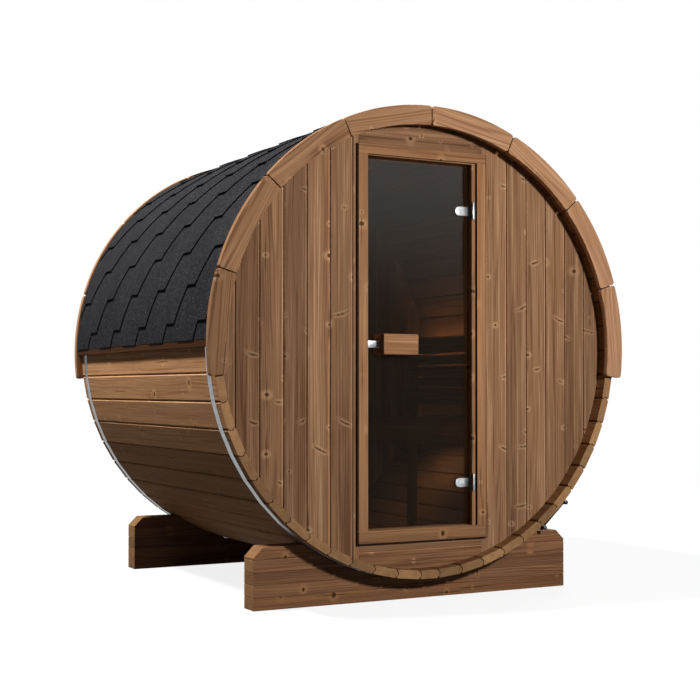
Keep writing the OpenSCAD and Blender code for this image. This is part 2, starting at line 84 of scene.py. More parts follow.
class Slot(Enum):
    """Material slots of the record."""

    CRADLE = "cradle_timber"
    STAVE = "stave_timber"
    STRAP = "strap_steel"
    FASCIA = "fascia_timber"
    ROOF = "roof_timber"
    SHINGLE = "bitumen_shingle"
    WALL = "wall_timber"
    FRAME = "frame_timber"
    RUBBER = "black_rubber"
    BRIGHT = "satin_steel"
    GLASS = "bronze_glass"
    HANDLE = "handle_timber"
    BENCH = "bench_timber"
    LIGHT = "light_strip"


class Axis(Enum):
    """Directions of the frame."""

    X = (1.0, 0.0, 0.0)
    Y = (0.0, 1.0, 0.0)
    Z = (0.0, 0.0, 1.0)


class Cut(Enum):
    """Looks of a board: its brightness beside the rest, and how red it is. Where a table picks them by a
    board's place, the brightness also carries painted light and shade.
    """

    PALE = (1.16, 0.0)
    SAPPY = (1.07, 0.1)
    EVEN = (0.97, 0.25)
    RUDDY = (0.86, 0.8)
    DULL = (0.84, 0.2)
    DEEP = (0.72, 0.4)


@dataclass(frozen=True)
class Barrel:
    """Main sizes of the barrel, in millimetres and degrees.

    Places are measured from the front stave ends (y) and from the barrel's axis (x, z).
    """

    radius: float = 1000.0
    length: float = 1751.0
    axis_height: float = 1093.0
    stave_cover: float = 116.7
    stave_count: int = 53
    stave_thickness: float = 37.0
    wall_front: float = 58.0
    wall_thickness: float = 42.0

    @property
    def pitch(self) -> float:
        """Angle taken by one stave."""
        return 2 * math.degrees(math.asin(self.stave_cover / 2 / self.radius))

    @property
    def closing(self) -> float:
        """Angle taken by the closing stave at the bottom."""
        return 360 - self.stave_count * self.pitch

    @property
    def wall_back(self) -> float:
        """Distance from the stave ends to the inner face of an end wall."""
        return self.wall_front + self.wall_thickness

    def place(self, x: float, y: float, z: float) -> Vector:
        """Point of the frame, in metres, from a place on the barrel."""
        return Vector((x, y - self.length / 2, z + self.axis_height)) * MM

    def stave_angle(self, index: int) -> float:
        """Angle of the middle of a stave, counted from the closing stave."""
        return 270 + self.closing / 2 + self.pitch * (index + 0.5)

    def turn(self, angle: float) -> Matrix:
        """Turn about the barrel's axis, from +X towards +Z."""
        centre = Matrix.Translation(Vector((0, 0, self.axis_height * MM)))
        return centre @ Matrix.Rotation(math.radians(-angle), 4, "Y") @ centre.inverted()


BARREL = Barrel()
HALF_TURN = Matrix.Rotation(math.pi, 4, "Z")


def linear(code: str) -> tuple[float, float, float, float]:
    """Linear colour of a hex code.

    Args:
        code: Six hex digits after a hash sign.

    Returns:
        Red, green, blue and full alpha.
    """
    parts = [int(code[i : i + 2], 16) / 255 for i in (1, 3, 5)]
    low, high = 12.92, 1.055
    made = [p / low if p <= 0.04045 else ((p + 0.055) / high) ** 2.4 for p in parts]
    return (made[0], made[1], made[2], 1.0)


class Shop:
    """Modelling steps, each on one object at a time."""

    @staticmethod
    def only(thing: Thing) -> Thing:
        """Selects one object and makes it the active one.

        Args:
            thing: Object to select.

        Returns:
            The same object.
        """
        bpy.ops.object.select_all(action="DESELECT")
        thing.select_set(True)
        bpy.context.view_layer.objects.active = thing
        return thing

    @staticmethod
    def settle(name: str) -> Thing:
        """Names the active object and moves its place into its mesh.

        Args:
            name: Name of the object and of its mesh.

        Returns:
            The object.
        """
        thing = bpy.context.object
        thing.name = name
        thing.data.name = name
        bpy.ops.object.transform_apply(location=True, rotation=True, scale=True)
        return thing

    @staticmethod
    def block(name: str, low: Triple, high: Triple) -> Thing:
        """Box between two corners on the barrel.

        Args:
            name: Name of the object.
            low: Lowest corner, in millimetres.
            high: Highest corner, in millimetres.

        Returns:
            The box, with its place in its mesh.
        """
        first, last = BARREL.place(*low), BARREL.place(*high)
        bpy.ops.object.select_all(action="DESELECT")
        bpy.ops.mesh.primitive_cube_add(size=1, location=(first + last) / 2)
        bpy.context.object.scale = last - first
        return Shop.settle(name)

    @staticmethod
    def bar(name: str, start: Vector, end: Vector, radius: float, steps: int = 24) -> Thing:
        """Round bar between two points.

        Args:
            name: Name of the object.
            start: Middle of the first end, in metres.
            end: Middle of the other end, in metres.
            radius: Radius in metres.
            steps: Number of sides.

        Returns:
            The bar, with its place in its mesh.
        """
        bpy.ops.object.select_all(action="DESELECT")
        bpy.ops.mesh.primitive_cylinder_add(
            vertices=steps,
            radius=radius,
            depth=(end - start).length,
            location=(start + end) / 2,
            rotation=(end - start).to_track_quat("Z", "Y").to_euler(),
        )
        return Shop.settle(name)

    @staticmethod
    def peg(name: str, start: Triple, end: Triple, radius: float, steps: int = 24) -> Thing:
        """Round bar between two places on the barrel, all in millimetres."""
        return Shop.bar(name, BARREL.place(*start), BARREL.place(*end), radius * MM, steps)

    @staticmethod
    def drum(name: str, radius: float, y0: float, y1: float) -> Thing:
        """Round body on the barrel's axis, used to cut other pieces."""
        return Shop.peg(name, (0, y0, 0), (0, y1, 0), radius, 256)

    @staticmethod
    def pick(thing: Thing, test: Callable[[Vector, Vector], bool]) -> int:
        """Selects edges in edit mode by their middle and direction.

        Args:
            thing: Object in edit mode.
            test: Tells from middle and direction whether an edge is wanted.

        Returns:
            Number of edges selected.
        """
        bpy.ops.mesh.select_mode(type="EDGE")
        bpy.ops.mesh.select_all(action="DESELECT")
        mesh = bmesh.from_edit_mesh(thing.data)
        found = 0
        for edge in mesh.edges:
            first, last = edge.verts[0].co, edge.verts[1].co
            if test((first + last) / 2, (last - first).normalized()):
                edge.select_set(True)
                found += 1
        bmesh.update_edit_mesh(thing.data)
        return found

    @staticmethod
    def pick_points(thing: Thing, test: Callable[[Vector], bool]) -> None:
        """Selects vertices in edit mode by their place.

        Args:
            thing: Object in edit mode.
            test: Tells from its place whether a vertex is wanted.
        """
        bpy.ops.mesh.select_mode(type="VERT")
        bpy.ops.mesh.select_all(action="DESELECT")
        mesh = bmesh.from_edit_mesh(thing.data)
        for vertex in mesh.verts:
            if test(vertex.co):
                vertex.select_set(True)
        mesh.select_flush_mode()
        bmesh.update_edit_mesh(thing.data)

    @staticmethod
    def chamfer(
        thing: Thing, test: Callable[[Vector, Vector], bool], width: float, steps: int = 1
    ) -> Thing:
        """Bevels the edges that a test picks.

        Args:
            thing: Object to work on.
            test: Tells from middle and direction whether an edge is wanted.
            width: Width in millimetres.
            steps: Segments of the bevel.

        Returns:
            The same object.
        """
        Shop.only(thing)
        bpy.ops.object.mode_set(mode="EDIT")
        if Shop.pick(thing, test):
            bpy.ops.mesh.bevel(offset=width * MM, segments=steps, affect="EDGES", clamp_overlap=True)
        bpy.ops.object.mode_set(mode="OBJECT")
        return thing

    @staticmethod
    def ease(thing: Thing, width: float, steps: int = 2, angle: float = 40.0) -> Thing:
        """Rounds every edge that is sharper than an angle.

        Args:
            thing: Object to work on.
            width: Width in millimetres.
            steps: Segments of the bevel.
            angle: Least angle between faces, in degrees.

        Returns:
            The same object.
        """
        Shop.only(thing)
        bevel = thing.modifiers.new("ease", "BEVEL")
        bevel.width = width * MM
        bevel.segments = steps
        bevel.limit_method = "ANGLE"
        bevel.angle_limit = math.radians(angle)
        bevel.use_clamp_overlap = True
        bpy.ops.object.modifier_apply(modifier=bevel.name)
        return thing

    @staticmethod
    def carve(thing: Thing, cutter: Thing, how: str) -> Thing:
        """Joins, cuts or trims an object with another, which stays.

        Args:
            thing: Object to change.
            cutter: The other object.
            how: UNION, DIFFERENCE or INTERSECT.

        Returns:
            The changed object.
        """
        Shop.only(thing)
        step = thing.modifiers.new("carve", "BOOLEAN")
        step.operation = how
        step.object = cutter
        step.solver = "EXACT"
        bpy.ops.object.modifier_apply(modifier=step.name)
        return thing

    @staticmethod
    def spend(thing: Thing, helper: Thing, how: str = "DIFFERENCE") -> None:
        """Carves an object with a helper that is then removed."""
        Shop.carve(thing, helper, how)
        Shop.discard(helper)

    @staticmethod
    def outward(thing: Thing) -> Thing:
        """Turns every face of an object outwards.

        Args:
            thing: Object to work on.

        Returns:
            The same object.
        """
        Shop.only(thing)
        bpy.ops.object.mode_set(mode="EDIT")
        bpy.ops.mesh.select_all(action="SELECT")
        bpy.ops.mesh.normals_make_consistent(inside=False)
        bpy.ops.object.mode_set(mode="OBJECT")
        return thing

    @staticmethod
    def trim(thing: Thing, point: Vector, outward: Vector) -> Thing:
        """Cuts off what lies beyond a plane and closes the cut.

        Args:
            thing: Object to cut.
            point: Point of the plane, in metres.
            outward: Normal of the plane, towards what goes.

        Returns:
            The same object.
        """
        Shop.only(thing)
        bpy.ops.object.mode_set(mode="EDIT")
        bpy.ops.mesh.select_all(action="SELECT")
        bpy.ops.mesh.bisect(plane_co=point, plane_no=outward, clear_outer=True, use_fill=True)
        bpy.ops.object.mode_set(mode="OBJECT")
        return thing

    @staticmethod
    def triangles(thing: Thing) -> Thing:
        """Splits all faces, also those with holes, into triangles.

        Args:
            thing: Object to work on.

        Returns:
            The same object.
        """
        Shop.only(thing)
        step = thing.modifiers.new("triangles", "TRIANGULATE")
        bpy.ops.object.modifier_apply(modifier=step.name)
        return thing

    @staticmethod
    def slice(point: Vector, normal: Vector) -> None:
        """Adds a ring of edges where a plane meets the object that is in edit mode."""
        bpy.ops.mesh.select_all(action="SELECT")
        bpy.ops.mesh.bisect(plane_co=point, plane_no=normal)

    @staticmethod
    def join(things: Sequence[Thing], name: str) -> Thing:
        """Joins objects into the first one.

        Args:
            things: Objects to join.
            name: Name of the joined object.

        Returns:
            The joined object.
        """
        Shop.only(things[0])
        for thing in things[1:]:
            thing.select_set(True)
        if len(things) > 1:
            bpy.ops.object.join()
        things[0].name = name
        things[0].data.name = name
        return things[0]

    @staticmethod
    def copy(thing: Thing, name: str, move: Matrix) -> Thing:
        """Copies an object with a mesh of its own.

        Args:
            thing: Object to copy.
            name: Name of the copy.
            move: Turn and shift of the copy's mesh.

        Returns:
            The copy, at the origin.
        """
        made = thing.copy()
        made.data = thing.data.copy()
        made.data.transform(move)
        made.name = name
        bpy.context.scene.collection.objects.link(made)
        return made

    @staticmethod
    def discard(*things: Thing) -> None:
        """Removes helper objects."""
        for thing in things:
            bpy.data.objects.remove(thing)

    @staticmethod
    def smooth(thing: Thing, angle: float = 35.0) -> Thing:
        """Shades faces smooth where they meet at less than an angle.

        Args:
            thing: Object to shade.
            angle: Greatest angle between faces, in degrees.

        Returns:
            The same object.
        """
        Shop.only(thing)
        bpy.ops.object.shade_smooth_by_angle(angle=math.radians(angle))
        return thing


@dataclass
class Stock:
    """Supply of boards, which gives each its own grain and tone."""

    seed: int
    draw: random.Random = field(init=False)

    def __post_init__(self) -> None:
        """Starts the stream of random numbers."""
        self.draw = random.Random(self.seed)

    def lay(self, thing: Thing, along: Axis, face: Axis, cut: Cut = Cut.EVEN) -> Thing:
        """Stores on a board where each point lies in its timber, its tone, its end grain, and painted light
        and shade on some faces.

        Bevelled faces get a value of one, a painted highlight where light catches them; a value below zero,
        which some pieces set later, paints shade on a face.

        Args:
            thing: Board to mark.
            along: Direction of the grain.
            face: Direction of the board's thickness.
            cut: Look of the board.

        Returns:
            The same board.
        """
        mesh = thing.data
        flat = np.empty(len(mesh.vertices) * 3, np.float32)
        mesh.vertices.foreach_get("co", flat)
        points = flat.reshape(-1, 3)
        points = points - (points.min(0) + points.max(0)) / 2
        length, depth = np.array(along.value), np.array(face.value)
        across = np.cross(length, depth)
        local = np.stack([points @ across, points @ depth, points @ length], 1)
        grain = mesh.attributes.new("grain", "FLOAT_VECTOR", "POINT")
        grain.data.foreach_set("vector", local.astype(np.float32).ravel())
        mesh.attributes.new("tone", "FLOAT_VECTOR", "POINT")
        sides = np.empty(len(mesh.polygons) * 3, np.float32)
        mesh.polygons.foreach_get("normal", sides)
        ends = np.abs(sides.reshape(-1, 3) @ length) > 0.7
        butt = mesh.attributes.new("butt", "FLOAT", "FACE")
        butt.data.foreach_set("value", ends.astype(np.float32))
        # Bevelled faces are marked for a painted highlight.
        lit_bevel = np.abs(sides.reshape(-1, 3)).max(1) < 0.93
        painted_shading = mesh.attributes.new("painted_shading", "FLOAT", "FACE")
        painted_shading.data.foreach_set("value", lit_bevel.astype(np.float32))
        return self.vary(thing, cut)

    def vary(self, thing: Thing, cut: Cut = Cut.EVEN) -> Thing:
        """Moves a board to another place in its timber and gives it a tone.

        Args:
            thing: Board that was laid before.
            cut: Look of the board.

        Returns:
            The same board.
        """
        mesh = thing.data
        count = len(mesh.vertices)
        heart = self.draw.choice((-1, 1)) * self.draw.uniform(0.025, 0.09)
        shift = (self.draw.uniform(-0.05, 0.05), heart, self.draw.uniform(-60, 60))
        flat = np.empty(count * 3, np.float32)
        mesh.attributes["grain"].data.foreach_get("vector", flat)
        moved = flat.reshape(-1, 3) + np.array(shift, np.float32)
        mesh.attributes["grain"].data.foreach_set("vector", moved.ravel())
        bright, red = cut.value
        tone = (
            bright * self.draw.uniform(0.96, 1.04),
            red + self.draw.uniform(0, 0.18),
            self.draw.random(),
        )
        mesh.attributes["tone"].data.foreach_set("vector", np.tile(np.array(tone, np.float32), count))
        return thing

    def board(
        self,
        name: str,
        low: Triple,
        high: Triple,
        along: Axis,
        face: Axis,
        cut: Cut = Cut.EVEN,
        ease: float = 2.0,
    ) -> Thing:
        """Planed board with eased edges.

        Args:
            name: Name of the object.
            low: Lowest corner, in millimetres.
            high: Highest corner, in millimetres.
            along: Direction of the grain.
            face: Direction of the board's thickness.
            cut: Look of the board.
            ease: Width of the eased edges, in millimetres.

        Returns:
            The board.
        """
        made = Shop.ease(Shop.block(name, low, high), ease)
        return self.lay(made, along, face, cut)

    def again(self, thing: Thing, name: str, move: Matrix, cut: Cut = Cut.EVEN) -> Thing:
        """Copy of a board with a grain of its own."""
        return self.vary(Shop.copy(thing, name, move), cut)


class Sheet:
    """Lays nodes into one node tree and wires them as they are placed."""

    def __init__(self, tree: bpy.types.NodeTree) -> None:
        """Keeps the tree to work on."""
        self.tree = tree

    def node(self, kind: str, **settings: object) -> bpy.types.Node:
        """Adds a node and sets its properties.

        Args:
            kind: Type of the node.
            settings: Properties and their values.

        Returns:
            The node.
        """
        made = self.tree.nodes.new(kind)
        for key, value in settings.items():
            setattr(made, key, value)
        return made

    def feed(self, socket: Socket, value: object) -> None:
        """Wires a socket to another, or sets its value.

        Args:
            socket: Input to feed.
            value: Output to wire it to, or a plain value.
        """
        if isinstance(value, bpy.types.NodeSocket):
            self.tree.links.new(value, socket)
        else:
            socket.default_value = value

    def fed(self, kind: str, *values: object, **settings: object) -> bpy.types.Node:
        """Adds a node and feeds its first inputs in order.

        Args:
            kind: Type of the node.
            values: Outputs or plain values for its inputs.
            settings: Properties and their values.

        Returns:
            The node.
        """
        made = self.node(kind, **settings)
        for socket, value in zip(made.inputs, values):
            self.feed(socket, value)
        return made

    def math(self, kind: str, *values: object) -> Socket:
        """Result of a sum on up to three values."""
        return self.fed("ShaderNodeMath", *values, operation=kind).outputs[0]

    def times(self, first: object, second: object) -> Socket:
        """Product of two values."""
        return self.math("MULTIPLY", first, second)

    def plus(self, first: object, second: object) -> Socket:
        """Sum of two values."""
        return self.math("ADD", first, second)

    def less(self, first: object, second: object) -> Socket:
        """First value without the second."""
        return self.math("SUBTRACT", first, second)

    def line(self, value: object, slope: object, base: object) -> Socket:
        """Value times a slope, plus a base."""
        return self.math("MULTIPLY_ADD", value, slope, base)

    def combine(self, x: object, y: object, z: object) -> Socket:
        """Vector of three values."""
        return self.fed("ShaderNodeCombineXYZ", x, y, z).outputs[0]

    def grey(self, value: object) -> Socket:
        """Colour with the same value in all three parts."""
        return self.combine(value, value, value)

    def split(self, vector: Socket) -> tuple[Socket, ...]:
        """Three values of a vector."""
        return tuple(self.fed("ShaderNodeSeparateXYZ", vector).outputs)

    def scale(self, vector: Socket, by: Triple) -> Socket:
        """Vector with each part multiplied."""
        return self.fed("ShaderNodeVectorMath", vector, by, operation="MULTIPLY").outputs[0]

    def remap(
        self, value: object, low: object, high: object, start: float = 0.0, end: float = 1.0
    ) -> Socket:
        """Smooth step from start to end as a value goes from low to high."""
        values = value, low, high, start, end
        return self.fed("ShaderNodeMapRange", *values, interpolation_type="SMOOTHSTEP").outputs[0]

    def blend(self, share: object, first: Socket, second: Socket) -> Socket:
        """Mix of two shaders."""
        return self.fed("ShaderNodeMixShader", share, first, second).outputs[0]

    def noise(self, vector: Socket, scale: float, detail: float = 2.0, rough: float = 0.5) -> Socket:
        """Soft noise from 0 to 1.

        Args:
            vector: Place to read it at.
            scale: Number of waves in a metre.
            detail: Octaves of finer waves.
            rough: How strong the finer waves are.

        Returns:
            The noise.
        """
        made = self.node("ShaderNodeTexNoise")
        self.feed(made.inputs["Vector"], vector)
        made.inputs["Scale"].default_value = scale
        made.inputs["Detail"].default_value = detail
        made.inputs["Roughness"].default_value = rough
        return made.outputs[0]

    def mix(self, share: object, first: object, second: object, kind: str = "MIX") -> Socket:
        """Mix of two colours.

        Args:
            share: Share of the second colour.
            first: First colour.
            second: Second colour.
            kind: How they are mixed.

        Returns:
            The mixed colour.
        """
        made = self.node("ShaderNodeMix", data_type="RGBA", blend_type=kind)
        self.feed(made.inputs[0], share)
        self.feed(made.inputs[6], first)
        self.feed(made.inputs[7], second)
        return made.outputs[2]

    def attribute(self, name: str) -> bpy.types.Node:
        """Reads an attribute of the mesh."""
        return self.node("ShaderNodeAttribute", attribute_name=name)


class Groups:
    """Node groups that several finishes share."""

    @staticmethod
    def start(name: str, inputs: dict[str, object], outputs: Iterable[str]) -> tuple[Sheet, Sockets, Sockets]:
        """Empty group with its sockets.

        Args:
            name: Name of the group.
            inputs: Names of the inputs with their first values; a tuple makes a colour.
            outputs: Names of the outputs; a name that ends in Color makes a colour.

        Returns:
            The sheet to lay nodes on, the group's inputs and its outputs.
        """
        tree = bpy.data.node_groups.new(name, "ShaderNodeTree")
        for key, value in inputs.items():
            kind = "NodeSocketColor" if isinstance(value, tuple) else "NodeSocketFloat"
            made = tree.interface.new_socket(name=key, in_out="INPUT", socket_type=kind)
            made.default_value = value
        for key in outputs:
            kind = "NodeSocketColor" if key.endswith("Color") else "NodeSocketFloat"
            tree.interface.new_socket(name=key, in_out="OUTPUT", socket_type=kind)
        sheet = Sheet(tree)
        return sheet, sheet.node("NodeGroupInput").outputs, sheet.node("NodeGroupOutput").inputs

    @staticmethod
    def timber() -> bpy.types.NodeTree:
        """Heat-treated softwood: growth rings, streaks, knots with pale halos, end grain, and painted light
        and shade on marked faces.

        Returns:
            The group, which puts out a colour, a roughness and a height.
        """
        found = bpy.data.node_groups.get("timber_grain")
        if found:
            return found
        sheet, given, out = Groups.start(
            "timber_grain",
            {
                "Light": PLAIN,
                "Mid": PLAIN,
                "Dark": PLAIN,
                "Butt": PLAIN,
                "Knots": 0.5,
                "Dots": 0.6,
                "Rings": 0.1,
                "PaintedShading": 0.1,
            },
            ("Color", "Roughness", "Height"),
        )
        grain = sheet.attribute("grain").outputs["Vector"]
        lift, red, _ = sheet.split(sheet.attribute("tone").outputs["Vector"])
        butt = sheet.attribute("butt").outputs["Fac"]
        painted_shading = sheet.attribute("painted_shading").outputs["Fac"]
        across, depth, along = sheet.split(grain)
        coarse, fine = sheet.noise(grain, 75.0, 1.0), sheet.noise(grain, 170.0, 1.0)
        shares = given["Knots"], sheet.times(given["Knots"], given["Dots"])
        core, halo = Groups.knots(sheet, across, along, shares, fine, coarse)

        sway = sheet.less(sheet.noise(sheet.scale(grain, (5.0, 5.0, 0.9)), 1.0, 2.0), 0.5)
        bent = sheet.line(sway, 0.03, across)
        bent = sheet.line(sheet.times(halo, halo), 0.012, bent)
        sunk = sheet.line(sway, 0.02, depth)
        rings_at = sheet.math("SQRT", sheet.plus(sheet.times(bent, bent), sheet.times(sunk, sunk)))
        wave = sheet.math("SINE", sheet.times(rings_at, 2 * math.pi / 0.0052))
        ring = sheet.math("POWER", sheet.line(wave, 0.5, 0.5), 2.2)
        swayed, edged = sheet.combine(bent, sunk, along), sheet.combine(bent, depth, along)
        wide = sheet.noise(sheet.scale(swayed, (26.0, 26.0, 0.7)), 1.0, 3.0, 0.6)
        narrow = sheet.noise(sheet.scale(edged, (150.0, 150.0, 3.2)), 1.0, 2.0, 0.55)
        fibre = sheet.noise(sheet.scale(grain, (820.0, 820.0, 26.0)), 1.0, 2.0, 0.6)

        mass = sheet.line(narrow, 0.42, sheet.times(wide, 0.58))
        mass = sheet.line(sheet.less(fibre, 0.5), 0.10, mass)
        mass = sheet.less(mass, sheet.times(sheet.less(ring, 0.3), given["Rings"]))
        colour = sheet.mix(sheet.remap(mass, 0.33, 0.5), given["Dark"], given["Mid"])
        colour = sheet.mix(sheet.remap(mass, 0.5, 0.68), colour, given["Light"])
        pale = sheet.mix(1.0, given["Light"], (1.15, 1.13, 1.1, 1.0), "MULTIPLY")
        colour = sheet.mix(sheet.times(halo, 0.7), colour, pale)
        colour = sheet.mix(sheet.times(core, 0.88), colour, (0.034, 0.017, 0.010, 1.0))
        rusty = sheet.mix(1.0, colour, (1.02, 0.93, 0.86, 1.0), "MULTIPLY")
        colour = sheet.mix(red, colour, rusty)
        # Painted light and shade: marked faces are made lighter as painted highlights on bevels and lips, or
        # darker as painted shade.
        painted_share = sheet.times(painted_shading, given["PaintedShading"])
        eased = [sheet.line(painted_share, share, 1.0) for share in (0.92, 1.0, 1.12)]
        colour = sheet.mix(1.0, colour, sheet.combine(*eased), "MULTIPLY")

        speck = sheet.noise(sheet.scale(grain, (300.0, 300.0, 300.0)), 1.0, 3.0, 0.7)
        patch = sheet.noise(sheet.scale(grain, (34.0, 34.0, 1.0)), 1.0, 2.0)
        dull = sheet.line(ring, -0.22, sheet.line(speck, 1.1, 0.45))
        dull = sheet.line(sheet.less(patch, 0.5), 0.6, dull)
        sawn = sheet.mix(1.0, given["Butt"], sheet.grey(dull), "MULTIPLY")
        colour = sheet.mix(butt, colour, sawn)
        colour = sheet.mix(1.0, colour, sheet.grey(lift), "MULTIPLY")
        sheet.feed(out["Color"], colour)
        sheet.feed(out["Roughness"], sheet.line(narrow, 0.22, 0.5))
        height = sheet.line(fibre, 0.55, sheet.times(narrow, 0.5))
        height = sheet.line(ring, -0.3, height)
        sheet.feed(out["Height"], sheet.line(core, -0.5, height))
        return sheet.tree

    @staticmethod
    def knots(
        sheet: Sheet,
        across: Socket,
        along: Socket,
        shares: tuple[Socket, Socket],
        rough: Socket,
        smudge: Socket,
    ) -> tuple[Socket, Socket]:
        """Round knots and spike knots, one in some cells of a loose grid.

        Args:
            sheet: Sheet to lay nodes on.
            across: Place across the board.
            along: Place along the board.
            shares: Shares of the cells that hold a knot and that hold a round one.
            rough: Noise that makes the edges ragged.
            smudge: Coarser noise that breaks up the spike knots.

        Returns:
            Masks of the dark knots and of the pale timber round them.
        """
        squeeze, cells = 0.62, 7.5
        spots = sheet.node("ShaderNodeTexVoronoi", voronoi_dimensions="2D", feature="F1")
        spots.inputs["Scale"].default_value = cells
        pressed = sheet.times(along, squeeze)
        sheet.feed(spots.inputs["Vector"], sheet.combine(across, pressed, 0.0))
        chance, size, turn = sheet.split(spots.outputs["Color"])
        middle_x, middle_y, _ = sheet.split(spots.outputs["Position"])
        away_x = sheet.less(across, middle_x)
        away_y = sheet.math("DIVIDE", sheet.less(pressed, middle_y), squeeze)
        gap = Groups.length(sheet, away_x, away_y, 1.0, 0.8)
        ragged = sheet.line(rough, 0.003, gap)
        radius = sheet.remap(size, 0.0, 1.0, 0.0038, 0.0115)
        angle = sheet.times(sheet.less(turn, 0.5), 0.9)
        cosine, sine = sheet.math("COSINE", angle), sheet.math("SINE", angle)
        lines = sheet.remap(Groups.length(sheet, away_x, away_y, 0.0034, 0.13), 0.25, 1.0, 0.8, 0.0)
        long = sheet.plus(sheet.times(away_x, cosine), sheet.times(away_y, sine))
        thin = sheet.less(sheet.times(away_y, cosine), sheet.times(away_x, sine))
        thin = sheet.line(sheet.less(rough, 0.5), 0.004, thin)
        any_knot = sheet.math("LESS_THAN", chance, shares[0])
        is_round = sheet.math("LESS_THAN", chance, shares[1])
        is_spike = sheet.less(any_knot, is_round)
        dots = sheet.remap(ragged, sheet.times(radius, 0.9), sheet.times(radius, 1.5), 1.0, 0.0)
        long = sheet.math("DIVIDE", long, sheet.remap(size, 0.0, 1.0, 0.6, 1.5))
        thin = sheet.line(sheet.times(long, long), -5.0, thin)
        spikes = sheet.remap(Groups.length(sheet, long, thin, 0.036, 0.0064), 0.3, 1.15, 0.95, 0.0)
        spikes = sheet.times(spikes, sheet.remap(smudge, 0.36, 0.52, 0.35, 1.0))
        glow = sheet.remap(gap, radius, sheet.times(radius, 4.0), 1.0, 0.0)
        wings = sheet.remap(Groups.length(sheet, long, thin, 0.046, 0.018), 0.3, 1.0, 1.0, 0.0)
        dots = sheet.math("MAXIMUM", dots, sheet.times(sheet.math("GREATER_THAN", turn, 0.35), lines))
        core = sheet.plus(sheet.times(is_round, dots), sheet.times(is_spike, spikes))
        halo = sheet.plus(sheet.times(is_round, glow), sheet.times(is_spike, wings))
        return core, halo

    @staticmethod
    def length(sheet: Sheet, x: Socket, y: Socket, wide: float, tall: float) -> Socket:
        """Length of two values, each divided by a size first."""
        first = sheet.math("POWER", sheet.math("DIVIDE", x, wide), 2.0)
        second = sheet.math("POWER", sheet.math("DIVIDE", y, tall), 2.0)
        return sheet.math("SQRT", sheet.plus(first, second))

    @staticmethod
    def grit() -> bpy.types.NodeTree:
        """Mineral grit and blotches, for shingles and sawn rubber.

        Returns:
            The group, which puts out a colour, a roughness and a height.
        """
        found = bpy.data.node_groups.get("grit")
        if found:
            return found
        sheet, given, out = Groups.start(
            "grit", {"Light": PLAIN, "Dark": PLAIN, "Grain": 520.0}, ("Color", "Roughness", "Height")
        )
        where = sheet.node("ShaderNodeTexCoord").outputs["Object"]
        lift, _, _ = sheet.split(sheet.attribute("tone").outputs["Vector"])
        stones = sheet.node("ShaderNodeTexVoronoi", voronoi_dimensions="3D", feature="F1")
        sheet.feed(stones.inputs["Vector"], where)
        sheet.feed(stones.inputs["Scale"], given["Grain"])
        chance, pale, _ = sheet.split(stones.outputs["Color"])
        cloud = sheet.noise(where, 3.2, 3.0, 0.55)
        share = sheet.line(chance, 0.55, sheet.times(cloud, 0.5))
        colour = sheet.mix(sheet.remap(share, 0.15, 0.85), given["Dark"], given["Light"])
        glint = sheet.times(sheet.math("GREATER_THAN", pale, 0.94), 0.5)
        colour = sheet.mix(glint, colour, (0.16, 0.16, 0.165, 1.0))
        colour = sheet.mix(1.0, colour, sheet.grey(lift), "MULTIPLY")
        sheet.feed(out["Color"], colour)
        sheet.feed(out["Roughness"], sheet.line(chance, 0.18, 0.76))
        sheet.feed(out["Height"], sheet.less(1.0, stones.outputs["Distance"]))
        return sheet.tree

    @staticmethod
    def rolled() -> bpy.types.NodeTree:
        """Rolled or brushed metal: fine lines, blotches and small scratches.

        Returns:
            The group, which puts out a colour, a roughness and a height.
        """
        # Rolled or brushed metal: fine lines and blotches.
        found = bpy.data.node_groups.get("rolled_metal")
        if found:
            return found
        sheet, given, out = Groups.start(
            "rolled_metal", {"Light": PLAIN, "Dark": PLAIN, "Satin": 0.3}, ("Color", "Roughness", "Height")
        )
        where = sheet.node("ShaderNodeTexCoord").outputs["Object"]
        cloud = sheet.noise(where, 38.0, 3.0, 0.6)
        line = sheet.noise(sheet.scale(where, (120.0, 900.0, 120.0)), 1.0, 1.0)
        share = sheet.line(line, 0.35, sheet.times(cloud, 0.65))
        sheet.feed(out["Color"], sheet.mix(sheet.remap(share, 0.3, 0.7), given["Dark"], given["Light"]))
        sheet.feed(out["Roughness"], sheet.line(cloud, 0.16, given["Satin"]))
        sheet.feed(out["Height"], line)
        return sheet.tree


class Finish:
    """A material that is built once and given to pieces."""

    name: str

    def dress(self, sheet: Sheet, shader: bpy.types.Node) -> None:
        """Sets the shader's sockets.

        Args:
            sheet: Sheet of the material's tree.
            shader: Shader to feed.
        """
        raise NotImplementedError

    def material(self) -> bpy.types.Material:
        """The material, built the first time it is asked for.

        Returns:
            The material.
        """
        found = bpy.data.materials.get(self.name)
        if found:
            return found
        made = bpy.data.materials.new(self.name)
        made.use_nodes = True
        tree = made.node_tree
        self.dress(Sheet(tree), tree.nodes["Principled BSDF"])
        return made

    @staticmethod
    def apply_group(
        sheet: Sheet,
        shader: bpy.types.Node,
        tree: bpy.types.NodeTree,
        values: dict[str, object],
        bump: tuple[float, float],
    ) -> None:
        """Wires a group's colour, roughness and height to a shader.

        Args:
            sheet: Sheet of the material's tree.
            shader: Shader to feed.
            tree: Group to place.
            values: Values of the group's inputs.
            bump: Strength and depth in metres of the bump.
        """
        group = sheet.node("ShaderNodeGroup", node_tree=tree)
        for key, value in values.items():
            group.inputs[key].default_value = value
        sheet.feed(shader.inputs["Base Color"], group.outputs["Color"])
        sheet.feed(shader.inputs["Roughness"], group.outputs["Roughness"])
        relief = sheet.node("ShaderNodeBump")
        relief.inputs["Strength"].default_value = bump[0]
        relief.inputs["Distance"].default_value = bump[1]
        sheet.feed(relief.inputs["Height"], group.outputs["Height"])
        sheet.feed(shader.inputs["Normal"], relief.outputs[0])


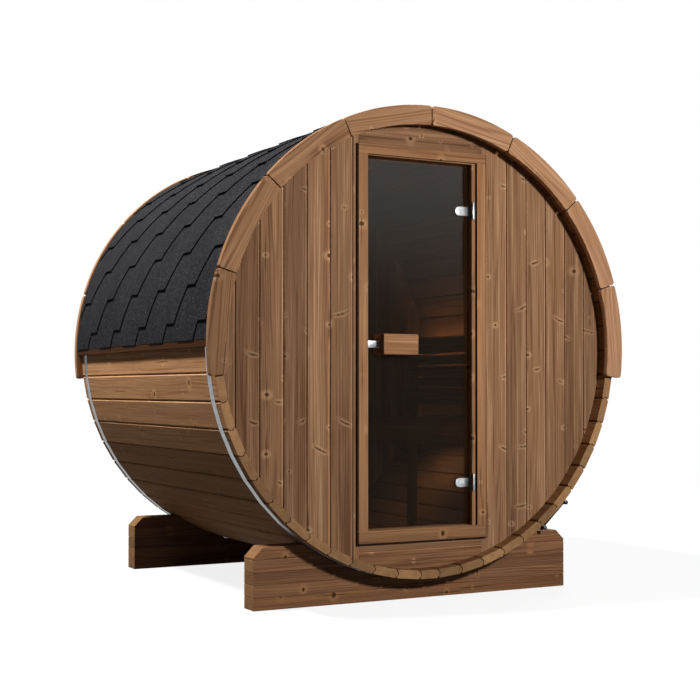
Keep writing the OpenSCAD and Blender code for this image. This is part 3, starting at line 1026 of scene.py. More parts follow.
@dataclass(frozen=True)
class Timber(Finish):
    """Heat-treated softwood."""

    name: str
    light: str
    mid: str
    dark: str
    butt: str
    knots: float = 0.5
    rings: float = 0.1
    # Strength of the painted highlights and painted shade on marked faces.
    painted_shading: float = 0.1
    dots: float = 0.6

    def dress(self, sheet: Sheet, shader: bpy.types.Node) -> None:
        """Sets the shader's sockets.

        Args:
            sheet: Sheet of the material's tree.
            shader: Shader to feed.
        """
        tints = {"Light": self.light, "Mid": self.mid, "Dark": self.dark, "Butt": self.butt}
        values = {key: linear(tint) for key, tint in tints.items()}
        values |= {"Knots": self.knots, "Dots": self.dots, "Rings": self.rings, "PaintedShading": self.painted_shading}
        shader.inputs["Specular IOR Level"].default_value = 0.01
        self.apply_group(sheet, shader, Groups.timber(), values, (0.35, 0.0006))


@dataclass(frozen=True)
class Grit(Finish):
    """Mineral-faced bitumen or dark rubber."""

    name: str
    light: str
    dark: str
    grain: float
    relief: float = 0.5

    def dress(self, sheet: Sheet, shader: bpy.types.Node) -> None:
        """Sets the shader's sockets.

        Args:
            sheet: Sheet of the material's tree.
            shader: Shader to feed.
        """
        values = {"Light": linear(self.light), "Dark": linear(self.dark), "Grain": self.grain}
        shader.inputs["Specular IOR Level"].default_value = 0.01
        self.apply_group(sheet, shader, Groups.grit(), values, (self.relief, 0.0008))


@dataclass(frozen=True)
class Metal(Finish):
    """Galvanised or satin steel."""

    name: str
    light: str
    dark: str
    satin: float

    def dress(self, sheet: Sheet, shader: bpy.types.Node) -> None:
        """Sets the shader's sockets.

        Args:
            sheet: Sheet of the material's tree.
            shader: Shader to feed.
        """
        values = {"Light": linear(self.light), "Dark": linear(self.dark), "Satin": self.satin}
        shader.inputs["Metallic"].default_value = 1.0
        self.apply_group(sheet, shader, Groups.rolled(), values, (0.08, 0.0002))


@dataclass(frozen=True)
class Tinted(Finish):
    """Bronze-tinted glass with faint hand marks, and a painted reflection that grows towards the top."""

    name: str
    tint: str
    deep: str
    reflection_ramp: tuple[float, float] = (1.15, 1.95)

    def dress(self, sheet: Sheet, shader: bpy.types.Node) -> None:
        """Sets the shader's sockets.

        Args:
            sheet: Sheet of the material's tree.
            shader: Shader to feed.
        """
        where = sheet.node("ShaderNodeTexCoord").outputs["Object"]
        cloud = sheet.noise(where, 2.4, 3.0, 0.6)
        sheet.feed(shader.inputs["Base Color"], sheet.mix(cloud, linear(self.tint), linear(self.deep)))
        marks = sheet.noise(where, 9.0, 4.0, 0.65)
        sheet.feed(shader.inputs["Roughness"], sheet.remap(marks, 0.5, 0.85, 0.0, 0.05))
        shader.inputs["Transmission Weight"].default_value = 0.985
        shader.inputs["IOR"].default_value = 1.1
        _, _, height = sheet.split(where)
        # Painted reflection: the clear coat grows with height, so the upper glass reflects more of the white
        # background.
        sheet.feed(shader.inputs["Coat Weight"], sheet.remap(height, *self.reflection_ramp, 0.0, 0.72))
        clear = sheet.node("ShaderNodeBsdfTransparent")
        clear.inputs[0].default_value = linear(self.tint)
        shadow = sheet.node("ShaderNodeLightPath").outputs["Is Shadow Ray"]
        mixed = sheet.blend(shadow, shader.outputs[0], clear.outputs[0])
        sheet.feed(sheet.tree.nodes["Material Output"].inputs["Surface"], mixed)


@dataclass(frozen=True)
class Glow(Finish):
    """Lit diffuser of a light strip."""

    name: str
    colour: str
    strength: float

    def dress(self, sheet: Sheet, shader: bpy.types.Node) -> None:
        """Sets the shader's sockets.

        Args:
            sheet: Sheet of the material's tree.
            shader: Shader to feed.
        """
        where = sheet.node("ShaderNodeTexCoord").outputs["Object"]
        cloud = sheet.noise(sheet.scale(where, (1.0, 60.0, 1.0)), 1.0, 1.0)
        warm = linear(self.colour)
        dim = (warm[0] * 0.8, warm[1] * 0.72, warm[2] * 0.62, 1.0)
        colour = sheet.mix(cloud, dim, warm)
        sheet.feed(shader.inputs["Base Color"], colour)
        sheet.feed(shader.inputs["Emission Color"], colour)
        shader.inputs["Emission Strength"].default_value = self.strength
        shader.inputs["Roughness"].default_value = 0.5


STAVE_WOOD = Timber("stave_oiled", "#bd9168", "#a87c57", "#8c6342", "#9b7551", 0.8, 0.12, 0.2)
WALL_WOOD = Timber("wall_oiled", "#ac8868", "#8c694d", "#6c4c36", "#8a6746", 0.85, 0.1, 0.78, 0.5)
FASCIA_WOOD = Timber("fascia_oiled", "#b18866", "#9d7657", "#835c41", "#936b49", 0.55, 0.16, 0.2, 0.95)
FRAME_WOOD = Timber("frame_oiled", "#aa815c", "#946c4d", "#7a5539", "#73503a", 0.85, 0.1, 0.2, 0.9)
CRADLE_WOOD = Timber("cradle_oiled", "#9f7651", "#896348", "#6d4b36", "#8f6a48", 0.9, 0.14, 0.1, 0.95)
# The eave battens' very dark colours are painted shade, standing for the shadow under the shingles' edge.
SHADED_EAVE_WOOD = Timber("eave_painted_shade", "#5a3a22", "#482e1b", "#362113", "#3d2817", 0.3, 0.1, 0.05)
BENCH_WOOD = Timber("bench_sanded", "#b08a64", "#987353", "#7d5a40", "#a1794f", 0.35, 0.1, 0.08)
SHINGLES = Grit("bitumen_grit", "#2b2b2d", "#1b1b1d", 430.0)
RUBBER = Grit("black_seal", "#1a1714", "#0c0a09", 900.0, 0.2)
# The casing gasket's dark brown is painted shade, standing for the shadow in the gap between casing and wall.
GASKET_SHADE = Grit("gasket_painted_shade", "#33231a", "#20150e", 900.0, 0.2)
STRAP_STEEL = Metal("galvanised_strap", "#9fa2a4", "#74777a", 0.34)
BRIGHT_STEEL = Metal("satin_chrome", "#c4c6c8", "#94979a", 0.26)
DARK_STEEL = Metal("blackened_bolt", "#2c2c2e", "#151517", 0.45)
DOOR_GLASS = Tinted("bronze_sheet", "#a39380", "#998976")
WARM_LIGHT = Glow("warm_diffuser", "#f8f3ea", 28.0)


def hand_over(
    thing: Thing, finish: Finish, nodes: Sequence[str], body: Body = Body.CABIN
) -> None:
    """Dresses a piece and fixes it to the frame.

    Args:
        thing: Piece to hand over.
        finish: Its material.
        nodes: Nodes of the frame that it stands for.
        body: Body that it rides on.
    """
    thing.data.materials.clear()
    thing.data.materials.append(finish.material())
    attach(thing, body.value)
    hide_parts(*nodes)
    LOG.info("%s: %d faces for %s", thing.name, len(thing.data.polygons), ", ".join(nodes))


@dataclass
class Staves:
    """Ring of straight staves with bead and cove joints."""

    bead: float = 8.0
    bead_half: float = 12.0
    notch: float = 5.0
    inner_notch: float = 5.0
    gap: float = 3.6
    levels: int = 7
    # Painted shade on the staves' inner faces.
    shade: float = -2.6
    groups: tuple[str, ...] = (
        "staves_lower_right",
        "staves_right",
        "staves_upper_right",
        "staves_upper_left",
        "staves_left",
        "staves_lower_left",
    )
    stock: Stock = field(default_factory=lambda: Stock(11))
    # Staves 40 to 46 run down the left side: the pale cuts high up and the dull and deep ones lower down are
    # painted light and shade that follow the fall of light.
    looks: dict[int, Cut] = field(
        default_factory=lambda: {
            40: Cut.SAPPY,
            41: Cut.SAPPY,
            42: Cut.PALE,
            43: Cut.PALE,
            44: Cut.DULL,
            45: Cut.DEEP,
            46: Cut.DEEP,
            49: Cut.RUDDY,
            52: Cut.SAPPY,
            1: Cut.RUDDY,
            5: Cut.DEEP,
            8: Cut.RUDDY,
        }
    )

    def profile(self, name: str, span: float) -> Thing:
        """One stave with its middle at angle zero.

        Args:
            name: Name of the object.
            span: Angle that the stave takes, in degrees.

        Returns:
            The stave, with its grain laid.
        """
        half = math.radians(span / 2)
        out = BARREL.radius * math.cos(half)
        inside = out - BARREL.stave_thickness
        out_half = BARREL.radius * math.sin(half) - self.gap / 2
        in_half = inside * math.tan(half) - self.gap / 2
        made = Shop.block(name, (inside, 0, -out_half), (out, BARREL.length, out_half))
        Shop.only(made)
        bpy.ops.object.mode_set(mode="EDIT")
        Shop.pick_points(made, lambda p: p.x < (inside + 1) * MM)
        bpy.ops.transform.resize(value=(1, 1, in_half / out_half), center_override=BARREL.place(0, 0, 0))
        bpy.ops.object.mode_set(mode="OBJECT")
        Shop.chamfer(made, lambda p, d: abs(d.y) > 0.9 and p.x > (out - 1) * MM, self.notch)
        Shop.chamfer(made, lambda p, d: abs(d.y) > 0.9 and p.x < (inside + 1) * MM, self.inner_notch)
        self.round_joint(made, out - BARREL.stave_thickness / 2)
        Shop.ease(made, 0.8, 1, 60.0)
        self.stock.lay(made, Axis.Y, Axis.X)
        # Inner faces get painted shade, standing for the dim recess behind the stave ends and the dim inside.
        for face in made.data.polygons:
            if face.normal.x < -0.5:
                made.data.attributes["painted_shading"].data[face.index].value = self.shade
        return made

    def round_joint(self, stave: Thing, middle: float) -> None:
        """Swells one edge of a stave and hollows the other.

        Args:
            stave: Stave to shape.
            middle: Distance from the axis to the middle of the joint.
        """
        radius = (self.bead_half**2 + self.bead**2) / (2 * self.bead)
        offsets = [self.bead_half * (2 * i / (self.levels - 1) - 1) for i in range(self.levels)]
        bpy.ops.object.mode_set(mode="EDIT")
        for offset in offsets:
            Shop.slice(BARREL.place(middle + offset, 0, 0), Vector((1, 0, 0)))
        for offset in offsets[1:-1]:
            rise = math.sqrt(radius**2 - offset**2) - (radius - self.bead)
            at = (middle + offset) * MM
            Shop.pick_points(stave, lambda p, at=at: abs(p.x - at) < 1e-5)
            bpy.ops.transform.translate(value=(0, 0, rise * MM))
        bpy.ops.object.mode_set(mode="OBJECT")

    def build(self) -> None:
        """Sets all staves in the ring, joined in six parts."""
        pattern = self.profile("stave_pattern", BARREL.pitch)
        closing = self.profile("stave_closing", BARREL.closing)
        per_part = math.ceil((BARREL.stave_count + 1) / len(self.groups))
        looks = (Cut.EVEN, Cut.EVEN, Cut.SAPPY, Cut.RUDDY, Cut.EVEN, Cut.DEEP, Cut.PALE)
        for part, node in enumerate(self.groups):
            boards = []
            for index in range(part * per_part, min((part + 1) * per_part, BARREL.stave_count)):
                cut = self.looks.get(index, self.stock.draw.choice(looks))
                turn = BARREL.turn(BARREL.stave_angle(index))
                boards.append(self.stock.again(pattern, f"stave_{index}", turn, cut))
            if part == len(self.groups) - 1:
                boards.append(self.stock.again(closing, "stave_last", BARREL.turn(270), Cut.RUDDY))
            joined = Shop.join(boards, f"oiled_{node}")
            hand_over(joined, STAVE_WOOD, [node])
        Shop.discard(pattern, closing)


@dataclass
class EndWalls:
    """Upright boards of both end walls, the posts beside the doorway and the level boards."""

    radius: float = 960.9
    board: float = 107.5
    groove: float = 3.4
    ease: float = 1.4
    level_half: float = 309.4
    gap: float = 0.8
    lip: float = 10.0
    lip_depth: float = 4.0
    joint: float = 3.4
    joint_depth: float = 6.0
    # Painted shade in the joint beside each lip.
    joint_painted_shade: float = -0.58
    post_in: float = 309.9
    post_out: float = 337.9
    head: float = 847.8
    sill: float = 820.8
    row: float = 56.0
    stock: Stock = field(default_factory=lambda: Stock(23))
    # The left wall's boards are darker than the right's: painted shade for the fall of light across the
    # front, on top of each board's own tone. The back wall reuses these tables.
    left: tuple[Cut, ...] = (Cut.DULL, Cut.EVEN, Cut.DEEP, Cut.EVEN, Cut.DEEP, Cut.DEEP)
    right: tuple[Cut, ...] = (Cut.EVEN, Cut.DULL, Cut.EVEN, Cut.EVEN, Cut.DEEP, Cut.DEEP)

    def upright(
        self, name: str, x0: float, x1: float, cut: Cut, cutter: Thing, lip: float = 0.0
    ) -> Thing:
        """Upright board, eased along its edges and cut round to the staves.

        Args:
            name: Name of the object.
            x0: Lower edge across the wall.
            x1: Upper edge across the wall.
            cut: Look of the board.
            cutter: Round body that the wall fits into.
            lip: Width of the recessed lip along the upper edge.

        Returns:
            The board.
        """
        y0 = BARREL.wall_front
        near = 0.0 if x0 * x1 < 0 else min(abs(x0), abs(x1))
        top = math.sqrt(self.radius**2 - near**2) + 2
        made = Shop.block(name, (x0, y0, -top), (x1, y0 + BARREL.wall_thickness, top))
        Shop.chamfer(made, lambda p, d: abs(d.z) > 0.9, self.ease)
        steps = ((lip, self.lip_depth), (self.joint, self.joint_depth)) if lip else ()
        for width, depth in steps:
            step = Shop.block("step", (x1 - width, y0 - 5, -top - 5), (x1 + 5, y0 + depth, top + 5))
            Shop.spend(made, step)
        Shop.carve(made, cutter, "INTERSECT")
        self.stock.lay(made, Axis.Z, Axis.Y, cut)
        # The lip's front face gets a painted highlight, and the deeper joint face beside it gets painted
        # shade.
        level = BARREL.place(0, y0 + self.lip_depth / 2, 0).y
        deep = BARREL.place(0, y0 + self.lip_depth + 1, 0).y
        painted_shading = made.data.attributes["painted_shading"].data
        for face in made.data.polygons:
            ahead = face.normal.y < -0.9 and face.center.y > level
            if ahead and face.center.y > deep:
                painted_shading[face.index].value = self.joint_painted_shade
            elif ahead:
                painted_shading[face.index].value = 1.0
        return made

    def side(self, name: str, start: float, sign: int, cuts: Sequence[Cut], cutter: Thing) -> list[Thing]:
        """Boards from a place out to the staves.

        Args:
            name: Start of the boards' names.
            start: First edge, measured from the middle.
            sign: 1 to the right and -1 to the left.
            cuts: Looks of the boards, used in turn.
            cutter: Round body that the wall fits into.

        Returns:
            The boards.
        """
        count = max(1, round((self.radius - start) / self.board))
        made = []
        for i in range(count):
            low = start + i * self.board + self.gap / 2
            high = self.radius if i == count - 1 else start + (i + 1) * self.board - self.gap / 2
            ends = sorted((sign * low, sign * high))
            made.append(self.upright(f"{name}_{i}", *ends, cuts[i % len(cuts)], cutter, self.lip))
        return made

    def level(self, name: str, z0: float, z1: float, cut: Cut, cutter: Thing) -> Thing:
        """Level board between the posts.

        Args:
            name: Name of the object.
            z0: Lower edge.
            z1: Upper edge.
            cut: Look of the board.
            cutter: Round body that the wall fits into.

        Returns:
            The board.
        """
        y0, y1 = BARREL.wall_front, BARREL.wall_back
        made = Shop.block(name, (-self.level_half, y0, z0), (self.level_half, y1, z1))
        Shop.chamfer(made, lambda p, d: abs(d.x) > 0.9, self.groove)
        Shop.carve(made, cutter, "INTERSECT")
        return self.stock.lay(made, Axis.X, Axis.Y, cut)

    def build(self) -> None:
        """Builds both walls."""
        y0 = BARREL.wall_front
        slit = self.gap / 2
        cutter = Shop.drum("wall_cutter", self.radius, y0 - 10, BARREL.wall_back + 10)
        walls = {
            "front_wall_left": self.side("left", self.post_out, -1, self.left, cutter),
            "front_wall_right": self.side("right", self.post_out, 1, self.right, cutter),
            "door_posts": [
                self.upright("post_right", self.post_in, self.post_out - slit, Cut.EVEN, cutter),
                self.upright("post_left", slit - self.post_out, -self.post_in, Cut.EVEN, cutter),
            ],
            "header_boards": [
                self.level("head_low", self.head + slit, self.head + self.row, Cut.DEEP, cutter),
                self.level("head_high", self.head + self.row + slit, self.radius, Cut.DEEP, cutter),
            ],
            "sill_boards": [
                self.level("sill_high", -self.sill - self.row, -self.sill - slit, Cut.DULL, cutter),
                self.level("sill_low", -self.radius, -self.sill - self.row - slit, Cut.RUDDY, cutter),
            ],
        }
        back = self.side("back_right", 0, 1, self.right, cutter)
        back += self.side("back_left", 0, -1, self.left, cutter)
        for board in back:
            board.data.transform(HALF_TURN)
        walls["back_wall"] = back
        for node, boards in walls.items():
            hand_over(Shop.join(boards, f"grooved_{node}"), WALL_WOOD, [node])
        Shop.discard(cutter)


@dataclass
class Fascia:
    """Curved boards over the stave ends and the roof's edge, at both ends."""

    inside: float = 946.3
    outside: float = 1030.2
    thickness: float = 28.0
    count: int = 8
    drop: float = 7.7
    gap: float = 4.5
    corner: float = 12.0
    steps: int = 18
    stock: Stock = field(default_factory=lambda: Stock(37))
    # Boards are counted from the lower right over the top: pale on the right half and darker round to the
    # lower left, as painted light and shade for the fall of light across the front. The back fascia reuses
    # them.
    cuts: tuple[Cut, ...] = (
        Cut.PALE,
        Cut.PALE,
        Cut.PALE,
        Cut.PALE,
        Cut.EVEN,
        Cut.DULL,
        Cut.DULL,
        Cut.DEEP,
    )

    @property
    def span(self) -> float:
        """Angle from one board to the next."""
        return (180 + 2 * self.drop) / self.count

    def pattern(self) -> Thing:
        """Board with rounded corners and its middle at angle zero.

        Returns:
            The board, with its grain laid.
        """
        half = (self.span - math.degrees(self.gap / self.outside)) / 2
        low = BARREL.place(self.inside, -self.thickness, 0)
        high = BARREL.place(self.outside, 0, 0)
        bpy.ops.object.select_all(action="DESELECT")
        bpy.ops.mesh.primitive_plane_add(size=1, location=(low + high) / 2)
        bpy.context.object.scale = (high.x - low.x, high.y - low.y, 1)
        made = Shop.settle("fascia_pattern")
        made.data.transform(BARREL.turn(-half))
        bpy.ops.object.mode_set(mode="EDIT")
        bpy.ops.mesh.select_all(action="SELECT")
        bpy.ops.mesh.spin(
            steps=self.steps, angle=math.radians(2 * half), center=BARREL.place(0, 0, 0), axis=(0, 1, 0)
        )
        bpy.ops.mesh.select_all(action="SELECT")
        bpy.ops.mesh.remove_doubles(threshold=1e-6)
        bpy.ops.mesh.normals_make_consistent(inside=False)
        bpy.ops.object.mode_set(mode="OBJECT")
        reach = math.sin(math.radians(half)) * self.inside * 0.98 * MM
        level = BARREL.axis_height * MM
        Shop.chamfer(made, lambda p, d: abs(d.y) > 0.9 and abs(p.z - level) > reach, self.corner, 5)
        Shop.ease(made, 3.2, 3, 50.0)
        Shop.smooth(made, 25.0)
        return self.stock.lay(made, Axis.Z, Axis.Y)

    def build(self) -> None:
        """Sets the boards round both ends."""
        pattern = self.pattern()
        for node, end in (("front_fascia", Matrix.Identity(4)), ("back_fascia", HALF_TURN)):
            boards = []
            for i in range(self.count):
                turn = BARREL.turn((i + 0.5) * self.span - self.drop)
                boards.append(self.stock.again(pattern, f"{node}_{i}", end @ turn, self.cuts[i]))
            hand_over(Shop.join(boards, f"rounded_{node}"), FASCIA_WOOD, [node])
        Shop.discard(pattern)


@dataclass
class Roof:
    """Roof boards, hexagonal shingles, ridge cap and eave battens."""

    deck_in: float = 1004.0
    base: float = 1016.5
    rise: float = 9.9
    fall: float = 5.0
    thickness: float = 4.8
    eave: float = 0.7
    first: float = 5.1
    step: float = 8.764
    rows: int = 10
    tab: float = 353.7
    flat: float = 96.0
    phase: float = 72.5
    slices: int = 4
    ridge: float = 210.0
    deck_boards: int = 11
    eave_low: float = -17.0
    eave_high: float = 12.0
    batten_in: float = 1001.6
    batten_out: float = 1018.4
    caps: int = 10
    cap_lap: float = 60.0
    stock: Stock = field(default_factory=lambda: Stock(53))

    def tab_pattern(self) -> Thing:
        """Shingle tab and the sheet above it, wrapped on the barrel with its lower edge at angle zero.

        Returns:
            The tab, with its middle at the front stave ends.
        """
        wide = self.tab - self.flat
        bpy.ops.object.select_all(action="DESELECT")
        bpy.ops.mesh.primitive_plane_add(size=1, location=(0, 0, 0))
        bpy.context.object.scale = (wide, 1, 1)
        made = Shop.settle("tab_pattern")
        bpy.ops.object.mode_set(mode="EDIT")
        Shop.pick_points(made, lambda p: p.y < 0)
        bpy.ops.transform.resize(value=(self.flat / wide, 1, 1), center_override=(0, 0, 0))
        bpy.ops.mesh.select_all(action="SELECT")
        bpy.ops.transform.translate(value=(0, 0.5, 0))
        Shop.pick(made, lambda p, d: p.y > 0.99)
        bpy.ops.mesh.extrude_region_move(TRANSFORM_OT_translate={"value": (0, 1e-3, 0)})
        bpy.ops.transform.resize(value=((self.tab - 0.5) / wide, 1, 1), center_override=(0, 1, 0))
        bpy.ops.mesh.extrude_region_move(TRANSFORM_OT_translate={"value": (0, 1.07, 0)})
        for i in range(1, 2 * self.slices):
            Shop.slice(Vector((0, i / self.slices, 0)), Vector((0, 1, 0)))
        bpy.ops.mesh.select_all(action="SELECT")
        bpy.ops.mesh.extrude_region_move(TRANSFORM_OT_translate={"value": (0, 0, 1)})
        bpy.ops.mesh.select_all(action="SELECT")
        bpy.ops.mesh.remove_doubles(threshold=1e-6)
        bpy.ops.object.mode_set(mode="OBJECT")
        for vertex in made.data.vertices:
            along, up, top = vertex.co
            inside = self.base + (self.rise - self.thickness) * (1 - up / 2)
            outside = self.base + self.rise - self.fall * up
            radius = outside if top > 0.5 else min(inside, outside - 0.2)
            angle = math.radians(self.step * up)
            vertex.co = BARREL.place(radius * math.cos(angle), along, radius * math.sin(angle))
        Shop.outward(made)
        return self.stock.lay(made, Axis.Y, Axis.X)

    def row(self, pattern: Thing, index: int, left: bool) -> list[Thing]:
        """One course of tabs from end to end.

        Args:
            pattern: Tab to copy.
            index: Number of the course, from the eave.
            left: True on the left side of the roof.

        Returns:
            The tabs, cut off at the stave ends, the eave and the ridge.
        """
        angle = self.first + index * self.step
        turn = BARREL.turn(angle)
        start = self.phase + (self.tab / 2 if index % 2 else 0) - self.tab
        made = []
        for i in range(math.ceil(BARREL.length / self.tab) + 2):
            middle = start + i * self.tab
            low, high = middle - self.tab / 2, middle + self.tab / 2
            if high < 1 or low > BARREL.length - 1:
                continue
            place = BARREL.length - middle if left else middle
            move = turn @ Matrix.Translation((0, place * MM, 0))
            tab = self.stock.again(pattern, f"tab_{index}_{i}", move)
            if low < 0 or high > BARREL.length:
                Shop.trim(tab, BARREL.place(0, 0.5, 0), Vector((0, -1, 0)))
                Shop.trim(tab, BARREL.place(0, BARREL.length - 0.5, 0), Vector((0, 1, 0)))
            if index < 0:
                edge = math.radians(self.eave)
                Shop.trim(tab, BARREL.place(0, 0, 0), Vector((math.sin(edge), 0, -math.cos(edge))))
            if angle + 2.1 * self.step > 90:
                Shop.trim(tab, BARREL.place(0.4, 0, 0), Vector((-1, 0, 0)))
            if left:
                tab.data.transform(HALF_TURN)
            made.append(tab)
        return made

    def starter(self, left: bool) -> Thing:
        """Plain strip under the first course, along the eave.

        Args:
            left: True for the left side.

        Returns:
            The strip.
        """
        made = Shop.block("starter", (self.base, 0.5, -60), (self.base + 1.6, BARREL.length - 0.5, 60))
        made.data.transform(BARREL.turn(self.eave + 3.4))
        self.stock.lay(made, Axis.Y, Axis.X)
        edge = math.radians(self.eave)
        Shop.trim(made, BARREL.place(0, 0, 0), Vector((math.sin(edge), 0, -math.cos(edge))))
        if left:
            made.data.transform(HALF_TURN)
        return made

    def cap(self) -> Thing:
        """Ridge cap of overlapping bent pieces.

        Returns:
            The cap.
        """
        exposed = (BARREL.length - 1) / self.caps
        half = math.degrees(math.asin(self.ridge / 2 / (self.base + self.rise)))
        bpy.ops.object.select_all(action="DESELECT")
        bpy.ops.mesh.primitive_grid_add(x_subdivisions=8, y_subdivisions=2, size=1)
        pattern = Shop.settle("cap_pattern")
        bpy.ops.object.mode_set(mode="EDIT")
        bpy.ops.mesh.select_all(action="SELECT")
        bpy.ops.mesh.extrude_region_move(TRANSFORM_OT_translate={"value": (0, 0, 1)})
        bpy.ops.object.mode_set(mode="OBJECT")
        for vertex in pattern.data.vertices:
            across, along, top = vertex.co
            reach = self.base + self.rise + 0.5 + (0.2 if along > 0 else 1.6) + 1.3 * (top > 0.5)
            turn = math.radians(90 - 2 * across * half)
            depth = (along + 0.5) * (exposed + self.cap_lap)
            vertex.co = BARREL.place(reach * math.cos(turn), depth, reach * math.sin(turn))
        Shop.outward(pattern)
        self.stock.lay(pattern, Axis.Y, Axis.Z)
        made = []
        for i in range(self.caps):
            move = Matrix.Translation((0, (0.5 + i * exposed) * MM, 0))
            piece = self.stock.again(pattern, f"cap_{i}", move)
            if i == self.caps - 1:
                Shop.trim(piece, BARREL.place(0, BARREL.length - 0.5, 0), Vector((0, 1, 0)))
            made.append(piece)
        Shop.discard(pattern)
        return Shop.join(made, "lapped_ridge_cap")

    def deck(self) -> Thing:
        """Straight roof boards under the shingles.

        Returns:
            The boards of both sides.
        """
        step = (90 - self.eave) / self.deck_boards
        half = self.deck_in * math.tan(math.radians(step / 2)) - 0.4
        pattern = self.stock.board(
            "deck_pattern",
            (self.deck_in - 2, 0, -half),
            (self.deck_in + 8, BARREL.length, half),
            Axis.Y,
            Axis.X,
            ease=1.5,
        )
        made = []
        for i in range(self.deck_boards):
            turn = BARREL.turn(self.eave + (i + 0.5) * step)
            made.append(self.stock.again(pattern, f"deck_right_{i}", turn))
            made.append(self.stock.again(pattern, f"deck_left_{i}", HALF_TURN @ turn))
        Shop.discard(pattern)
        return Shop.join(made, "planed_roof_boards")

    def battens(self) -> Thing:
        """Battens under both eaves."""
        ends = (self.batten_in, 0.0, self.eave_low), (self.batten_out, BARREL.length, self.eave_high)
        right = self.stock.board("eave_right", *ends, Axis.Y, Axis.X, Cut.DEEP, 2.0)
        left = self.stock.again(right, "eave_left", HALF_TURN, Cut.DEEP)
        return Shop.join([right, left], "eased_eave_battens")

    def build(self) -> None:
        """Covers the roof."""
        pattern = self.tab_pattern()
        for node, left in (("shingles_right", False), ("shingles_left", True)):
            tabs = [tab for index in range(-1, self.rows) for tab in self.row(pattern, index, left)]
            joined = Shop.join([self.starter(left), *tabs], f"hexagonal_{node}")
            hand_over(joined, SHINGLES, [node])
        Shop.discard(pattern)
        hand_over(self.cap(), SHINGLES, ["ridge_cap"])
        hand_over(self.deck(), STAVE_WOOD, ["roof_boards"])
        hand_over(self.battens(), SHADED_EAVE_WOOD, ["eave_battens"])


@dataclass
class Cradles:
    """Two glued-up cradles, hollowed to the barrel."""

    half: float = 782.0
    height: float = 260.0
    depth: float = 95.0
    inset: float = 93.0
    boards: int = 5
    chamfer: float = 45.0
    stock: Stock = field(default_factory=lambda: Stock(71))

    def build(self) -> None:
        """Builds the front cradle and turns a copy to the back."""
        floor = -BARREL.axis_height
        tall = self.height / self.boards
        ends = self.inset - 20, self.inset + self.depth + 20
        cutter = Shop.drum("cradle_cutter", BARREL.radius + 0.6, *ends)
        cuts = (Cut.RUDDY, Cut.EVEN, Cut.DEEP, Cut.EVEN, Cut.RUDDY)
        layers = []
        for i in range(self.boards):
            low = (-self.half, self.inset, floor + i * tall)
            high = (self.half, self.inset + self.depth, floor + (i + 1) * tall - 0.8)
            layer = Shop.block(f"layer_{i}", low, high)
            Shop.ease(layer, 2.0, 2)
            for side in (-1, 1):
                corner = BARREL.place(side * self.half, 0, floor + self.height - self.chamfer)
                Shop.trim(layer, corner, Vector((side, 0, 1)).normalized())
            Shop.carve(layer, cutter, "DIFFERENCE")
            layers.append(self.stock.lay(layer, Axis.X, Axis.Y, cuts[i % len(cuts)]))
        Shop.discard(cutter)
        front = Shop.join(layers, "glued_cradle_front")
        back = Shop.copy(front, "glued_cradle_back", HALF_TURN)
        hand_over(front, CRADLE_WOOD, ["cradle_front"])
        hand_over(back, CRADLE_WOOD, ["cradle_back"])


